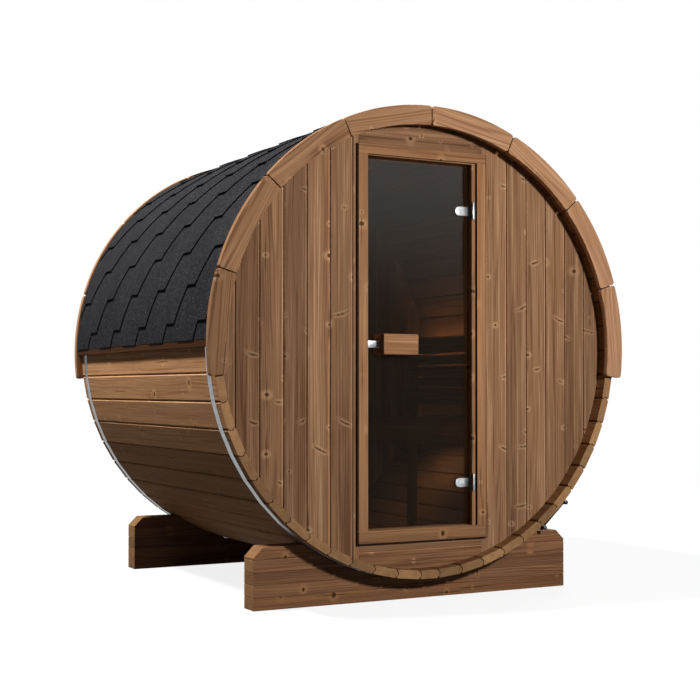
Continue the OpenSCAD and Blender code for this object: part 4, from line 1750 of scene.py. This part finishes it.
@dataclass
class Straps:
    """Steel straps and the bolts that tighten them."""

    front: float = 42.0
    width: float = 40.0
    angle: float = 312.7
    span: float = 162.0
    bolt: float = 1038.0
    lug: float = 50.0
    base: float = 999.6
    foot: float = 46.0
    rod: float = 3.9
    pin: float = 9.8
    thread: float = 4.4
    turns: int = 14

    def lug_plate(self, angle: float, side: int) -> Thing:
        """Strap end, bent up and rounded at its top.

        Args:
            angle: Angle of the lug on the barrel.
            side: 1 where the foot runs on towards larger angles.

        Returns:
            The lug.
        """
        y0, y1 = self.front + 0.5, self.front + self.width - 0.5
        plate = Shop.block("lug", (self.base, y0, -1.5), (self.base + self.lug, y1, 1.5))
        Shop.chamfer(plate, lambda p, d: abs(d.z) > 0.9 and p.x > 1.02, 11.0, 6)
        ends = sorted((0, side * self.foot))
        foot = Shop.block("foot", (self.base - 0.2, y0, ends[0]), (self.base + 2, y1, ends[1]))
        Shop.spend(plate, foot, "UNION")
        Shop.ease(plate, 0.5, 1, 50)
        plate.data.transform(BARREL.turn(angle))
        return plate

    def bolt_set(self, middle: Vector, along: Vector) -> list[Thing]:
        """Rod with its head, nut and washers.

        Args:
            middle: Middle of the rod, in metres.
            along: Direction of the rod.

        Returns:
            The parts of the bolt.
        """
        half = self.span / 2
        reach = along * (half + 15) * MM
        made = [Shop.bar("rod", middle - reach, middle + reach, self.rod * MM, 16)]
        for side in (-1, 1):
            for name, start, end, radius, steps in (
                ("washer", 1.6, 3.4, 10.0, 24),
                ("nut", 3.4, 11.0, 8.0, 6),
            ):
                first = middle + along * side * (half + start) * MM
                last = middle + along * side * (half + end) * MM
                made.append(Shop.ease(Shop.bar(name, first, last, radius * MM, steps), 0.5, 1))
        for side in (-1, 1):
            at = middle + along * side * half * MM
            wide = Vector((0, (self.width / 2 - 1) * MM, 0))
            made.append(Shop.ease(Shop.bar("pin", at - wide, at + wide, self.pin * MM, 24), 1.2, 2))
        for i in range(self.turns):
            start = middle + along * (half - 14 - i * 3.2) * MM
            made.append(Shop.bar("thread", start, start - along * 1.4 * MM, self.thread * MM, 12))
        return made

    def build(self) -> None:
        """Dresses the straps and builds both tighteners."""
        half = math.degrees(math.asin(self.span / 2 / self.bolt))
        radius = self.bolt * math.cos(math.radians(half))
        turn = math.radians(self.angle)
        y = self.front + self.width / 2
        middle = BARREL.place(radius * math.cos(turn), y, radius * math.sin(turn))
        along = Vector((-math.sin(turn), 0, math.cos(turn)))
        lugs = [self.lug_plate(self.angle - half, -1), self.lug_plate(self.angle + half, 1)]
        plates = Shop.join(lugs, "bent_lugs_front")
        bolts = Shop.smooth(Shop.join(self.bolt_set(middle, along), "bolt_front"))
        flip = Matrix.Scale(-1, 4, (0, 1, 0))
        pairs = (plates, "bent_lugs_back", STRAP_STEEL), (bolts, "bolt_back", DARK_STEEL)
        for source, name, finish in pairs:
            twin = Shop.copy(source, name, flip)
            twin.data.flip_normals()
            hand_over(source, finish, ["tensioner_front"])
            hand_over(twin, finish, ["tensioner_back"])

    def dress_bands(self, nodes: dict[str, Thing]) -> None:
        """Gives the straps of the frame their steel.

        Args:
            nodes: Nodes of the frame by name.
        """
        for name in ("strap_front", "strap_back"):
            nodes[name].data.materials.clear()
            nodes[name].data.materials.append(STRAP_STEEL.material())
            LOG.info("%s: frame node in steel", name)


@dataclass
class DoorFrame:
    """Casing, lining, seals and stops of the doorway."""

    half: float = 275.5
    head: float = 813.8
    sill: float = 786.8
    casing: float = 44.5
    casing_head: float = 41.0
    casing_sill: float = 53.0
    front: float = 43.4
    back: float = 57.7
    lining: float = 34.0
    lining_back: float = 150.0
    stop_front: float = 109.5
    stop_back: float = 134.5
    stop: float = 12.0
    seal: float = 4.6
    play: float = 0.3
    bead: float = 4.9
    bead_hinge: float = 18.4
    bead_notch: float = 12.8
    bead_depth: float = 12.0
    notches: tuple[float, float] = (603.8, -599.8)
    stock: Stock = field(default_factory=lambda: Stock(97))

    def casing_boards(self) -> None:
        """Boards round the doorway, eased on the outside."""
        out = self.half + self.casing
        sides = []
        for sign, cut in ((-1, Cut.EVEN), (1, Cut.SAPPY)):
            ends = sorted((sign * self.half, sign * out))
            low, high = (ends[0], self.front, -self.sill + 0.2), (ends[1], self.back, self.head - self.play)
            board = Shop.block("casing_side", low, high)
            inner = sorted((sign * (self.half - 1), sign * (self.half + self.seal)))
            rebate = Shop.block(
                "rebate", (inner[0], self.front + 0.8, -self.sill - 5), (inner[1], self.back + 1, self.head)
            )
            Shop.spend(board, rebate)
            sides.append(self.stock.lay(Shop.ease(board, 1.6), Axis.Z, Axis.Y, cut))
        hand_over(Shop.join(sides, "eased_casing_sides"), FRAME_WOOD, ["casing_sides"])
        head = Shop.block(
            "eased_casing_head", (-out, self.front, self.head), (out, self.back, self.head + self.casing_head)
        )
        edge = self.half + self.seal
        rebate = Shop.block(
            "rebate",
            (-edge, self.front + 0.8, self.head - 1),
            (edge, self.back + 1, self.head + self.seal),
        )
        Shop.spend(head, rebate)
        self.stock.lay(Shop.ease(head, 1.6), Axis.X, Axis.Y)
        hand_over(head, FRAME_WOOD, ["casing_head_board"])
        sill = self.stock.board(
            "eased_casing_sill",
            (-out, self.front, -self.sill - self.casing_sill),
            (out, self.back, -self.sill - self.play),
            Axis.X,
            Axis.Y,
            Cut.DEEP,
            1.8,
        )
        hand_over(sill, FRAME_WOOD, ["casing_sill_board"])

    def lining_boards(self) -> None:
        """Frame that lines the doorway, and the stops behind the glass."""
        out, y0 = self.half + self.lining, BARREL.wall_front
        boards = []
        for sign in (-1, 1):
            ends = sorted((sign * self.half, sign * out))
            low = (ends[0], y0, -self.sill + self.play)
            high = (ends[1], self.lining_back, self.head - self.play)
            boards.append(self.stock.board("lining_side", low, high, Axis.Z, Axis.X))
        for name, low, high in (
            ("lining_head", self.head, self.head + self.lining),
            ("lining_sill", -self.sill - self.lining, -self.sill),
        ):
            boards.append(
                self.stock.board(name, (-out, y0, low), (out, self.lining_back, high), Axis.X, Axis.Z)
            )
        beads = (
            ("bead_left", (-self.half, -self.sill + self.play), (-self.half + self.bead, self.head), Axis.Z),
            ("bead_head", (-self.half, self.head - self.bead), (self.half, self.head), Axis.X),
        )
        for name, low, high, along in beads:
            corners = (low[0], y0 + 0.2, low[1]), (high[0], y0 + self.bead_depth, high[1])
            boards.append(self.stock.board(name, *corners, along, Axis.Y, ease=0.8))
        boards.append(self.hinge_bead())
        hand_over(Shop.join(boards, "eased_door_lining"), FRAME_WOOD, ["door_lining"])
        stops = []
        for sign in (-1, 1):
            ends = sorted((sign * (self.half - self.stop), sign * self.half))
            low = (ends[0], self.stop_front, -self.sill + self.play)
            high = (ends[1], self.stop_back, self.head - self.stop - self.play)
            stops.append(self.stock.board("stop_side", low, high, Axis.Z, Axis.X))
        low = (-self.half, self.stop_front, self.head - self.stop)
        high = (self.half, self.stop_back, self.head - self.play)
        stops.append(self.stock.board("stop_head", low, high, Axis.X, Axis.Z))
        hand_over(Shop.join(stops, "eased_door_stops"), FRAME_WOOD, ["door_stops"])

    def hinge_bead(self) -> Thing:
        """Bead in front of the hinged edge, cut back where the clamps swing past.

        Returns:
            The bead, with its grain laid.
        """
        y0 = BARREL.wall_front + 0.2
        y1 = BARREL.wall_front + self.bead_depth
        low = (self.half - self.bead_hinge, y0, -self.sill + self.play)
        made = Shop.block("bead_hinge", low, (self.half, y1, self.head - self.bead))
        for z in self.notches:
            room = Shop.block(
                "room", (self.half - 30, y0 - 5, z - 40), (self.half - self.bead_notch, y1 + 5, z + 40)
            )
            Shop.spend(made, room)
        return self.stock.lay(Shop.ease(made, 0.8), Axis.Z, Axis.Y)

    def seals(self) -> None:
        """Dark strips in the rebate and round the casing."""
        y0, inner, outer = self.front + 1.2, self.half + 0.4, self.half + self.seal - 0.2
        strips = [
            Shop.block("seal", (sign_low, y0, -self.sill + self.play), (sign_high, self.back, self.head))
            for sign_low, sign_high in ((-outer, -inner), (inner, outer))
        ]
        strips.append(
            Shop.block(
                "seal_head", (-outer, y0, self.head + 0.4), (outer, self.back, self.head + self.seal - 0.2)
            )
        )
        self.hand_strips(strips, RUBBER, "ribbed_door_seal", "door_seal")
        # Gasket strips round the casing, coloured as painted shade for the gap's shadow.
        edge, low = self.half + self.casing, -self.sill - self.casing_sill
        y0, out = self.back - 9.0, self.half + self.casing + 6.0
        top = self.head + self.casing_head
        strips = [
            Shop.block("gasket", (sign_low, y0, low), (sign_high, self.back, top))
            for sign_low, sign_high in ((-out, -edge - self.play), (edge + self.play, out))
        ]
        foot = (-out, y0, low - 6.3), (out, self.back, low - self.play)
        strips.append(Shop.block("gasket_foot", *foot))
        self.hand_strips(strips, GASKET_SHADE, "casing_gasket_shade", "casing_gasket")

    def hand_strips(self, strips: list[Thing], finish: Finish, name: str, node: str) -> None:
        """Rounds rubber strips and hands them over as one piece.

        Args:
            strips: Strips to join.
            finish: Material of the piece.
            name: Name of the piece.
            node: Node that it replaces.
        """
        for strip in strips:
            Shop.ease(strip, 1.2, 2)
            self.stock.lay(strip, Axis.Z, Axis.Y)
        hand_over(Shop.join(strips, name), finish, [node])

    def build(self) -> None:
        """Builds the whole frame."""
        self.casing_boards()
        self.lining_boards()
        self.seals()


@dataclass
class Door:
    """Glass door with its hinges, handle and catch."""

    half: float = 270.0
    low: float = -781.3
    high: float = 808.3
    front: float = 95.5
    back: float = 103.5
    pivot_x: float = 265.5
    pivot_y: float = 86.0
    hinges: tuple[float, float] = (603.8, -599.8)
    clamp: float = 74.0
    clamp_height: float = 40.0
    clamp_thick: float = 6.0
    handle_x: tuple[float, float] = (-200.0, -28.0)
    handle_z: float = 6.0
    handle_height: float = 88.5
    catch_x: float = -265.0
    catch_width: float = 75.0
    catch_height: float = 29.0
    stud_x: float = 211.5
    stud: float = 7.4
    knuckle: float = 5.5
    pin: float = 4.0
    plate_height: float = 74.0
    post_x: tuple[float, float] = (-157.0, -71.0)
    stock: Stock = field(default_factory=lambda: Stock(131))

    def sheet(self) -> None:
        """Glass sheet with ground edges and its holes."""
        glass = Shop.block(
            "ground_door_glass", (-self.half, self.front, self.low), (self.half, self.back, self.high)
        )
        holes = [(self.stud_x, z, 15.6) for z in self.hinges]
        holes += [(x, self.handle_z, 14.6) for x in self.post_x]
        holes.append((self.catch_x + self.catch_height, self.handle_z, 15.6))
        for x, z, diameter in holes:
            ends = (x, self.front - 5, z), (x, self.back + 5, z)
            cutter = Shop.peg("hole", *ends, diameter / 2, 32)
            Shop.spend(glass, cutter)
        Shop.ease(glass, 0.8, 2)
        Shop.triangles(glass)
        hand_over(glass, DOOR_GLASS, ["door_glass"], Body.DOOR)

    def cheek(self, z: float, y0: float, y1: float, end: float) -> Thing:
        """Hinge cheek with a round end and soft edges.

        Args:
            z: Height of its middle.
            y0: Front face.
            y1: Back face.
            end: Straight end, across the door.

        Returns:
            The cheek.
        """
        start = self.pivot_x - self.clamp
        tall = self.clamp_height / 2
        made = Shop.block("cheek", (start, y0, z - tall), (end, y1, z + tall))
        limit = (start + 1) * MM
        Shop.chamfer(made, lambda p, d: abs(d.y) > 0.9 and p.x < limit, tall - 0.3, 14)
        return Shop.ease(made, 1.1, 3, 50)

    def hinge(self, z: float) -> tuple[list[Thing], list[Thing], list[Thing], list[Thing]]:
        """Hinge at a height.

        Args:
            z: Height of its middle.

        Returns:
            The bright and dark parts on the glass, then the bright and dark parts on the frame.
        """
        tall, thick, reach = self.clamp_height / 2, self.clamp_thick, self.plate_height / 2
        x, y, stud = self.pivot_x, self.pivot_y, self.stud_x
        end = x - 7.5
        moving = [
            self.cheek(z, self.front - thick, self.front - 0.02, x + 4.5),
            self.cheek(z, self.back + 0.02, self.back + thick, end - 12),
            Shop.peg("stud", (stud, self.front, z), (stud, self.back, z), self.stud),
        ]
        knuckle = Shop.peg("knuckle", (x, y, z - tall), (x, y, z + tall), self.knuckle, 32)
        link = Shop.block("link", (end - 2, y, z - tall), (x, y + 5.4, z + tall))
        Shop.spend(knuckle, link, "UNION")
        ends = (x, y, z - tall - 5), (x, y, z + tall + 5)
        Shop.spend(knuckle, Shop.peg("pin_hole", *ends, self.pin + 0.05, 32))
        for at in (stud, stud + 22):
            moving.append(self.screw(at, self.front - thick, z, 4.2))
        plate = Shop.block("plate", (272.5, y - 14.5, z - reach), (275.48, y + 5.5, z + reach))
        Shop.chamfer(plate, lambda p, d: abs(d.x) > 0.9, 4.0, 5)
        ears = []
        for side in (-1, 1):
            first, last = z + side * (tall + 1), z + side * (tall + 11)
            ear = Shop.peg("ear", (x, y, first), (x, y, last), self.knuckle, 32)
            arm = Shop.block("arm", (x, y - 4, min(first, last)), (273.5, y + 4, max(first, last)))
            Shop.spend(ear, arm, "UNION")
            ears.append(Shop.ease(ear, 0.6, 2))
        ears.append(Shop.peg("pin", (x, y, z - tall - 1), (x, y, z + tall + 1), self.pin, 32))
        leg = Shop.block("leg", (263.0, 55.9, z - reach), (274.2, 58.15, z + reach))
        return moving, [knuckle], [Shop.ease(plate, 0.6, 2), Shop.ease(leg, 0.5, 2)], ears

    def screw(self, x: float, y: float, z: float, radius: float) -> Thing:
        """Flat screw head with a six-sided socket, facing the front.

        Args:
            x: Place across the door.
            y: Face that it sits on.
            z: Height.
            radius: Radius of the head.

        Returns:
            The screw head.
        """
        head = Shop.ease(Shop.peg("screw", (x, y + 1, z), (x, y - 0.7, z), radius, 20), 0.4, 2)
        socket = Shop.peg("socket", (x, y + 0.4, z), (x, y - 3, z), radius / 2, 6)
        Shop.spend(head, socket)
        return head

    def handles(self) -> None:
        """Wooden blocks on both sides of the glass, and their standoffs."""
        tall = self.handle_height / 2
        x0, x1 = self.handle_x
        for name, y0, node in (("outside", 40.0, "handle_outside"), ("inside", 127.0, "handle_inside")):
            low, high = (x0, y0, self.handle_z - tall), (x1, y0 + 32, self.handle_z + tall)
            block = Shop.ease(Shop.block(f"eased_handle_{name}", low, high), 4.5, 4)
            self.stock.lay(Shop.smooth(block, 30), Axis.X, Axis.Y, Cut.SAPPY)
            hand_over(block, FRAME_WOOD, [node], Body.DOOR)
        posts = []
        for x in self.post_x:
            for y0, y1, radius in ((72.0, 127.0, 7.0), (91.5, 95.4, 11.0), (103.6, 107.5, 11.0)):
                bar = Shop.peg("post", (x, y0, self.handle_z), (x, y1, self.handle_z), radius, 32)
                posts.append(Shop.ease(bar, 0.5, 2))
        joined = Shop.smooth(Shop.join(posts, "turned_standoffs"))
        hand_over(joined, BRIGHT_STEEL, ["handle_standoffs"], Body.DOOR)

    def catch(self) -> None:
        """Metal catch on the edge of the glass."""
        tall, z = self.catch_height / 2, self.handle_z
        x0, x1 = self.catch_x, self.catch_x + self.catch_width
        parts = []
        for y0, y1 in ((self.front - 5, self.front - 0.02), (self.back + 0.02, self.back + 5)):
            plate = Shop.block("plate", (x0, y0, z - tall), (x1, y1, z + tall))
            Shop.chamfer(plate, lambda p, d: abs(d.y) > 0.9, 4.0, 5)
            parts.append(Shop.ease(plate, 0.9, 3, 50))
        stud = x0 + self.catch_height
        parts.append(Shop.peg("stud", (stud, self.front, z), (stud, self.back, z), self.stud))
        parts.append(self.screw(x0 + 12, self.front - 5, z, 4.0))
        parts.append(self.screw(stud + 8, self.front - 5, z, 4.0))
        joined = Shop.smooth(Shop.join(parts, "soft_edged_catch"))
        hand_over(joined, BRIGHT_STEEL, ["door_catch"], Body.DOOR)

    def build(self) -> None:
        """Builds the door."""
        self.sheet()
        upper, lower = (self.hinge(z) for z in self.hinges)
        for i, (name, finish, node, body) in enumerate(
            (
                ("round_ended_clamps", BRIGHT_STEEL, "hinge_clamps", Body.DOOR),
                ("bored_knuckles", DARK_STEEL, "hinge_clamps", Body.DOOR),
                ("rounded_hinge_plates", BRIGHT_STEEL, "hinge_plates", Body.CABIN),
                ("turned_hinge_ears", DARK_STEEL, "hinge_plates", Body.CABIN),
            )
        ):
            joined = Shop.smooth(Shop.join([*upper[i], *lower[i]], name))
            hand_over(joined, finish, [node], body)
        self.handles()
        self.catch()


@dataclass
class Bench:
    """Bench, backrest and light strip on the right side."""

    front: float = 391.0
    apron: float = 22.0
    apron_height: float = 115.0
    top: float = -340.0
    seat: float = 28.0
    boards: int = 4
    gap: float = 9.0
    leg: float = 38.0
    bearer: float = 45.0
    slat_x: float = 844.9
    slat: float = 18.0
    slat_top: float = 94.0
    batten: float = 30.0
    play: float = 0.3
    inside: float = 960.99
    leg_reach: float = 960.9
    stock: Stock = field(default_factory=lambda: Stock(173))

    def seat_boards(self) -> None:
        """Seat boards, front board and the frame under them."""
        y0, y1 = BARREL.wall_back + self.play, BARREL.length - BARREL.wall_back - self.play
        low = self.top - self.seat
        start = self.front + self.apron + self.play
        end = math.sqrt(self.inside**2 - low**2) - 0.4
        width = (end - start - (self.boards - 1) * self.gap) / self.boards
        seat = []
        for i in range(self.boards):
            x0 = start + i * (width + self.gap)
            corners = (x0, y0, low), (x0 + width, y1, self.top)
            seat.append(self.stock.board("seat", *corners, Axis.Y, Axis.Z, Cut.EVEN, 4.0))
        hand_over(Shop.join(seat, "sanded_bench_seat"), BENCH_WOOD, ["bench_seat"])
        corners = (self.front, y0, self.top - self.apron_height), (self.front + self.apron, y1, self.top)
        apron = self.stock.board("sanded_bench_apron", *corners, Axis.Y, Axis.X, Cut.SAPPY, 3.0)
        hand_over(apron, BENCH_WOOD, ["bench_apron"])
        under = low - self.bearer
        back = math.sqrt(self.inside**2 - under**2) - 0.4
        middle = (BARREL.length - self.leg) / 2
        frame = []
        for y in (y0, middle, y1 - self.leg):
            corners = (start, y, under), (back, y + self.leg, low - 0.02)
            frame.append(self.stock.board("bearer", *corners, Axis.X, Axis.Z))
        high = (start + self.leg, middle + self.leg, under - self.play)
        leg = Shop.block("leg", (start, middle, -900), high)
        drum = Shop.drum("leg_cutter", self.leg_reach, middle - 50, middle + 100)
        Shop.spend(leg, drum, "INTERSECT")
        frame.append(self.stock.lay(Shop.ease(leg, 2.5), Axis.Z, Axis.X))
        hand_over(Shop.join(frame, "sanded_bench_frame"), BENCH_WOOD, ["bench_frame"])

    def backrest(self) -> None:
        """Slats, uprights and the light strip behind the top slat."""
        y0, y1 = BARREL.wall_back + 40, BARREL.length - BARREL.wall_back - 40
        slats, level = [], self.slat_top
        for height in (87.0, 51.0, 51.0, 51.0, 87.0):
            corners = (self.slat_x, y0, level - height), (self.slat_x + self.slat, y1, level)
            slats.append(self.stock.board("slat", *corners, Axis.Y, Axis.X, Cut.SAPPY, 3.5))
            level -= height + self.gap
        hand_over(Shop.join(slats, "sanded_backrest_slats"), BENCH_WOOD, ["backrest_slats"])
        x0 = self.slat_x + self.slat + 0.02
        top = self.slat_top - 43.5
        uprights = []
        for y in (y0 + 40, (BARREL.length - 40) / 2, y1 - 80):
            corners = (x0, y, self.top + 0.02), (x0 + self.batten, y + 40, top)
            uprights.append(self.stock.board("upright", *corners, Axis.Z, Axis.X))
        hand_over(Shop.join(uprights, "sanded_battens"), BENCH_WOOD, ["backrest_battens"])
        corners = (x0, y0 + 40, top + 9), (x0 + 10, y1 - 40, top + 19)
        strip = Shop.ease(Shop.block("rounded_light_strip", *corners), 3.0, 4)
        hand_over(strip, WARM_LIGHT, ["backrest_light"])

    def build(self) -> None:
        """Builds the furniture."""
        self.seat_boards()
        self.backrest()


@dataclass
class Studio:
    """Floor, light and camera."""

    eye: Triple = (-3.0395, -5.8576, 0.9086)
    yaw: float = 28.0455
    pitch: float = 0.8966
    focal: float = 1356.05
    frame: int = 700
    centre_y: float = 367.46
    ambient: float = 0.08

    def camera(self) -> None:
        """Camera at the photograph's place and angle."""
        data = bpy.data.cameras.new("view")
        data.sensor_width = 36.0
        data.lens = self.focal * data.sensor_width / self.frame
        data.shift_y = (self.centre_y - self.frame / 2) / self.frame
        data.clip_end = 200
        made = bpy.data.objects.new("view", data)
        made.location = self.eye
        made.rotation_euler = (math.radians(90 + self.pitch), 0, math.radians(-self.yaw))
        bpy.context.scene.collection.objects.link(made)
        bpy.context.scene.camera = made

    def lamp(
        self, name: str, aim: Triple, towards: Triple, distance: float, size: float, level: float
    ) -> None:
        """Square soft light.

        Args:
            name: Name of the light.
            aim: What it points at, in metres.
            towards: Direction from there to the light.
            distance: How far away it stands.
            size: Side of the square.
            level: How bright a white surface that faces it becomes.
        """
        data = bpy.data.lights.new(name, "AREA")
        data.size = size
        data.energy = level * (math.pi * distance) ** 2
        made = bpy.data.objects.new(name, data)
        away = Vector(towards).normalized()
        made.location = Vector(aim) + away * distance
        made.rotation_euler = away.to_track_quat("Z", "Y").to_euler()
        bpy.context.scene.collection.objects.link(made)

    def seen(self, sheet: Sheet) -> Socket:
        """1 on rays from the camera, and on those through glass and off metal."""
        path = sheet.node("ShaderNodeLightPath").outputs
        found = sheet.math("MAXIMUM", path["Is Camera Ray"], path["Is Glossy Ray"])
        return sheet.math("MAXIMUM", found, path["Is Transmission Ray"])

    def world(self) -> None:
        """Soft light all round, and a white background."""
        world = bpy.data.worlds.new("studio")
        world.use_nodes = True
        bpy.context.scene.world = world
        sheet = Sheet(world.node_tree)
        world.node_tree.nodes.clear()
        soft = sheet.node("ShaderNodeBackground")
        soft.inputs["Color"].default_value = (0.97, 0.98, 1.0, 1.0)
        soft.inputs["Strength"].default_value = self.ambient
        white = sheet.node("ShaderNodeBackground")
        white.inputs["Color"].default_value = (1.0, 1.0, 1.0, 1.0)
        mixed = sheet.blend(self.seen(sheet), soft.outputs[0], white.outputs[0])
        sheet.feed(sheet.node("ShaderNodeOutputWorld").inputs[0], mixed)

    def floor(self) -> None:
        """Plain pale floor that keeps the object's shadow."""
        bpy.ops.object.select_all(action="DESELECT")
        bpy.ops.mesh.primitive_plane_add(size=10, location=(0, 0, -0.001))
        plane = Shop.settle("studio_floor")
        material = bpy.data.materials.new("pale_floor")
        material.use_nodes = True
        sheet = Sheet(material.node_tree)
        material.node_tree.nodes.clear()
        matt = sheet.node("ShaderNodeBsdfDiffuse")
        matt.inputs["Color"].default_value = (0.05, 0.05, 0.05, 1.0)
        shown = sheet.node("ShaderNodeBsdfDiffuse")
        shown.inputs["Color"].default_value = (0.9, 0.9, 0.9, 1.0)
        white = sheet.node("ShaderNodeEmission")
        white.inputs["Strength"].default_value = 1.0
        pale = sheet.blend(0.85, shown.outputs[0], white.outputs[0])
        mixed = sheet.blend(self.seen(sheet), matt.outputs[0], pale)
        sheet.feed(sheet.node("ShaderNodeOutputMaterial").inputs[0], mixed)
        plane.data.materials.append(material)

    def build(self) -> None:
        """Sets up the studio."""
        bpy.context.scene.view_settings.view_transform = "Standard"
        self.camera()
        self.world()
        self.floor()
        for name, aim, towards, distance, size, level in (
            ("front_key", (0.0, -0.82, 1.1), (0.6, -3.43, 0.95), 3.61, 0.35, 1.02),
            ("left_key", (-0.9, 0.0, 1.1), (-0.446, 0.10, 0.895), 8.0, 0.8, 2.1),
            ("back_fill", (0.5, 0.5, 1.1), (0.70, 0.75, 0.60), 8.0, 3.0, 0.9),
            ("cabin_lamp", (0.55, 0.16, 0.24), (0.05, 0.0, 0.40), 0.4, 0.3, 0.5),
        ):
            self.lamp(name, aim, towards, distance, size, level)


def main() -> None:
    """Builds every piece over the frame."""
    logging.basicConfig(level=logging.INFO, format="%(name)s: %(message)s")
    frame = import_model()
    bpy.ops.object.select_all(action="DESELECT")
    straps = Straps()
    straps.dress_bands(frame["nodes"])
    cabin = Staves(), EndWalls(), Fascia(), Roof(), Cradles(), straps
    for part in (*cabin, DoorFrame(), Door(), Bench(), Studio()):
        part.build()
        LOG.info("%s built", type(part).__name__)


if __name__ == "__main__":
    main()
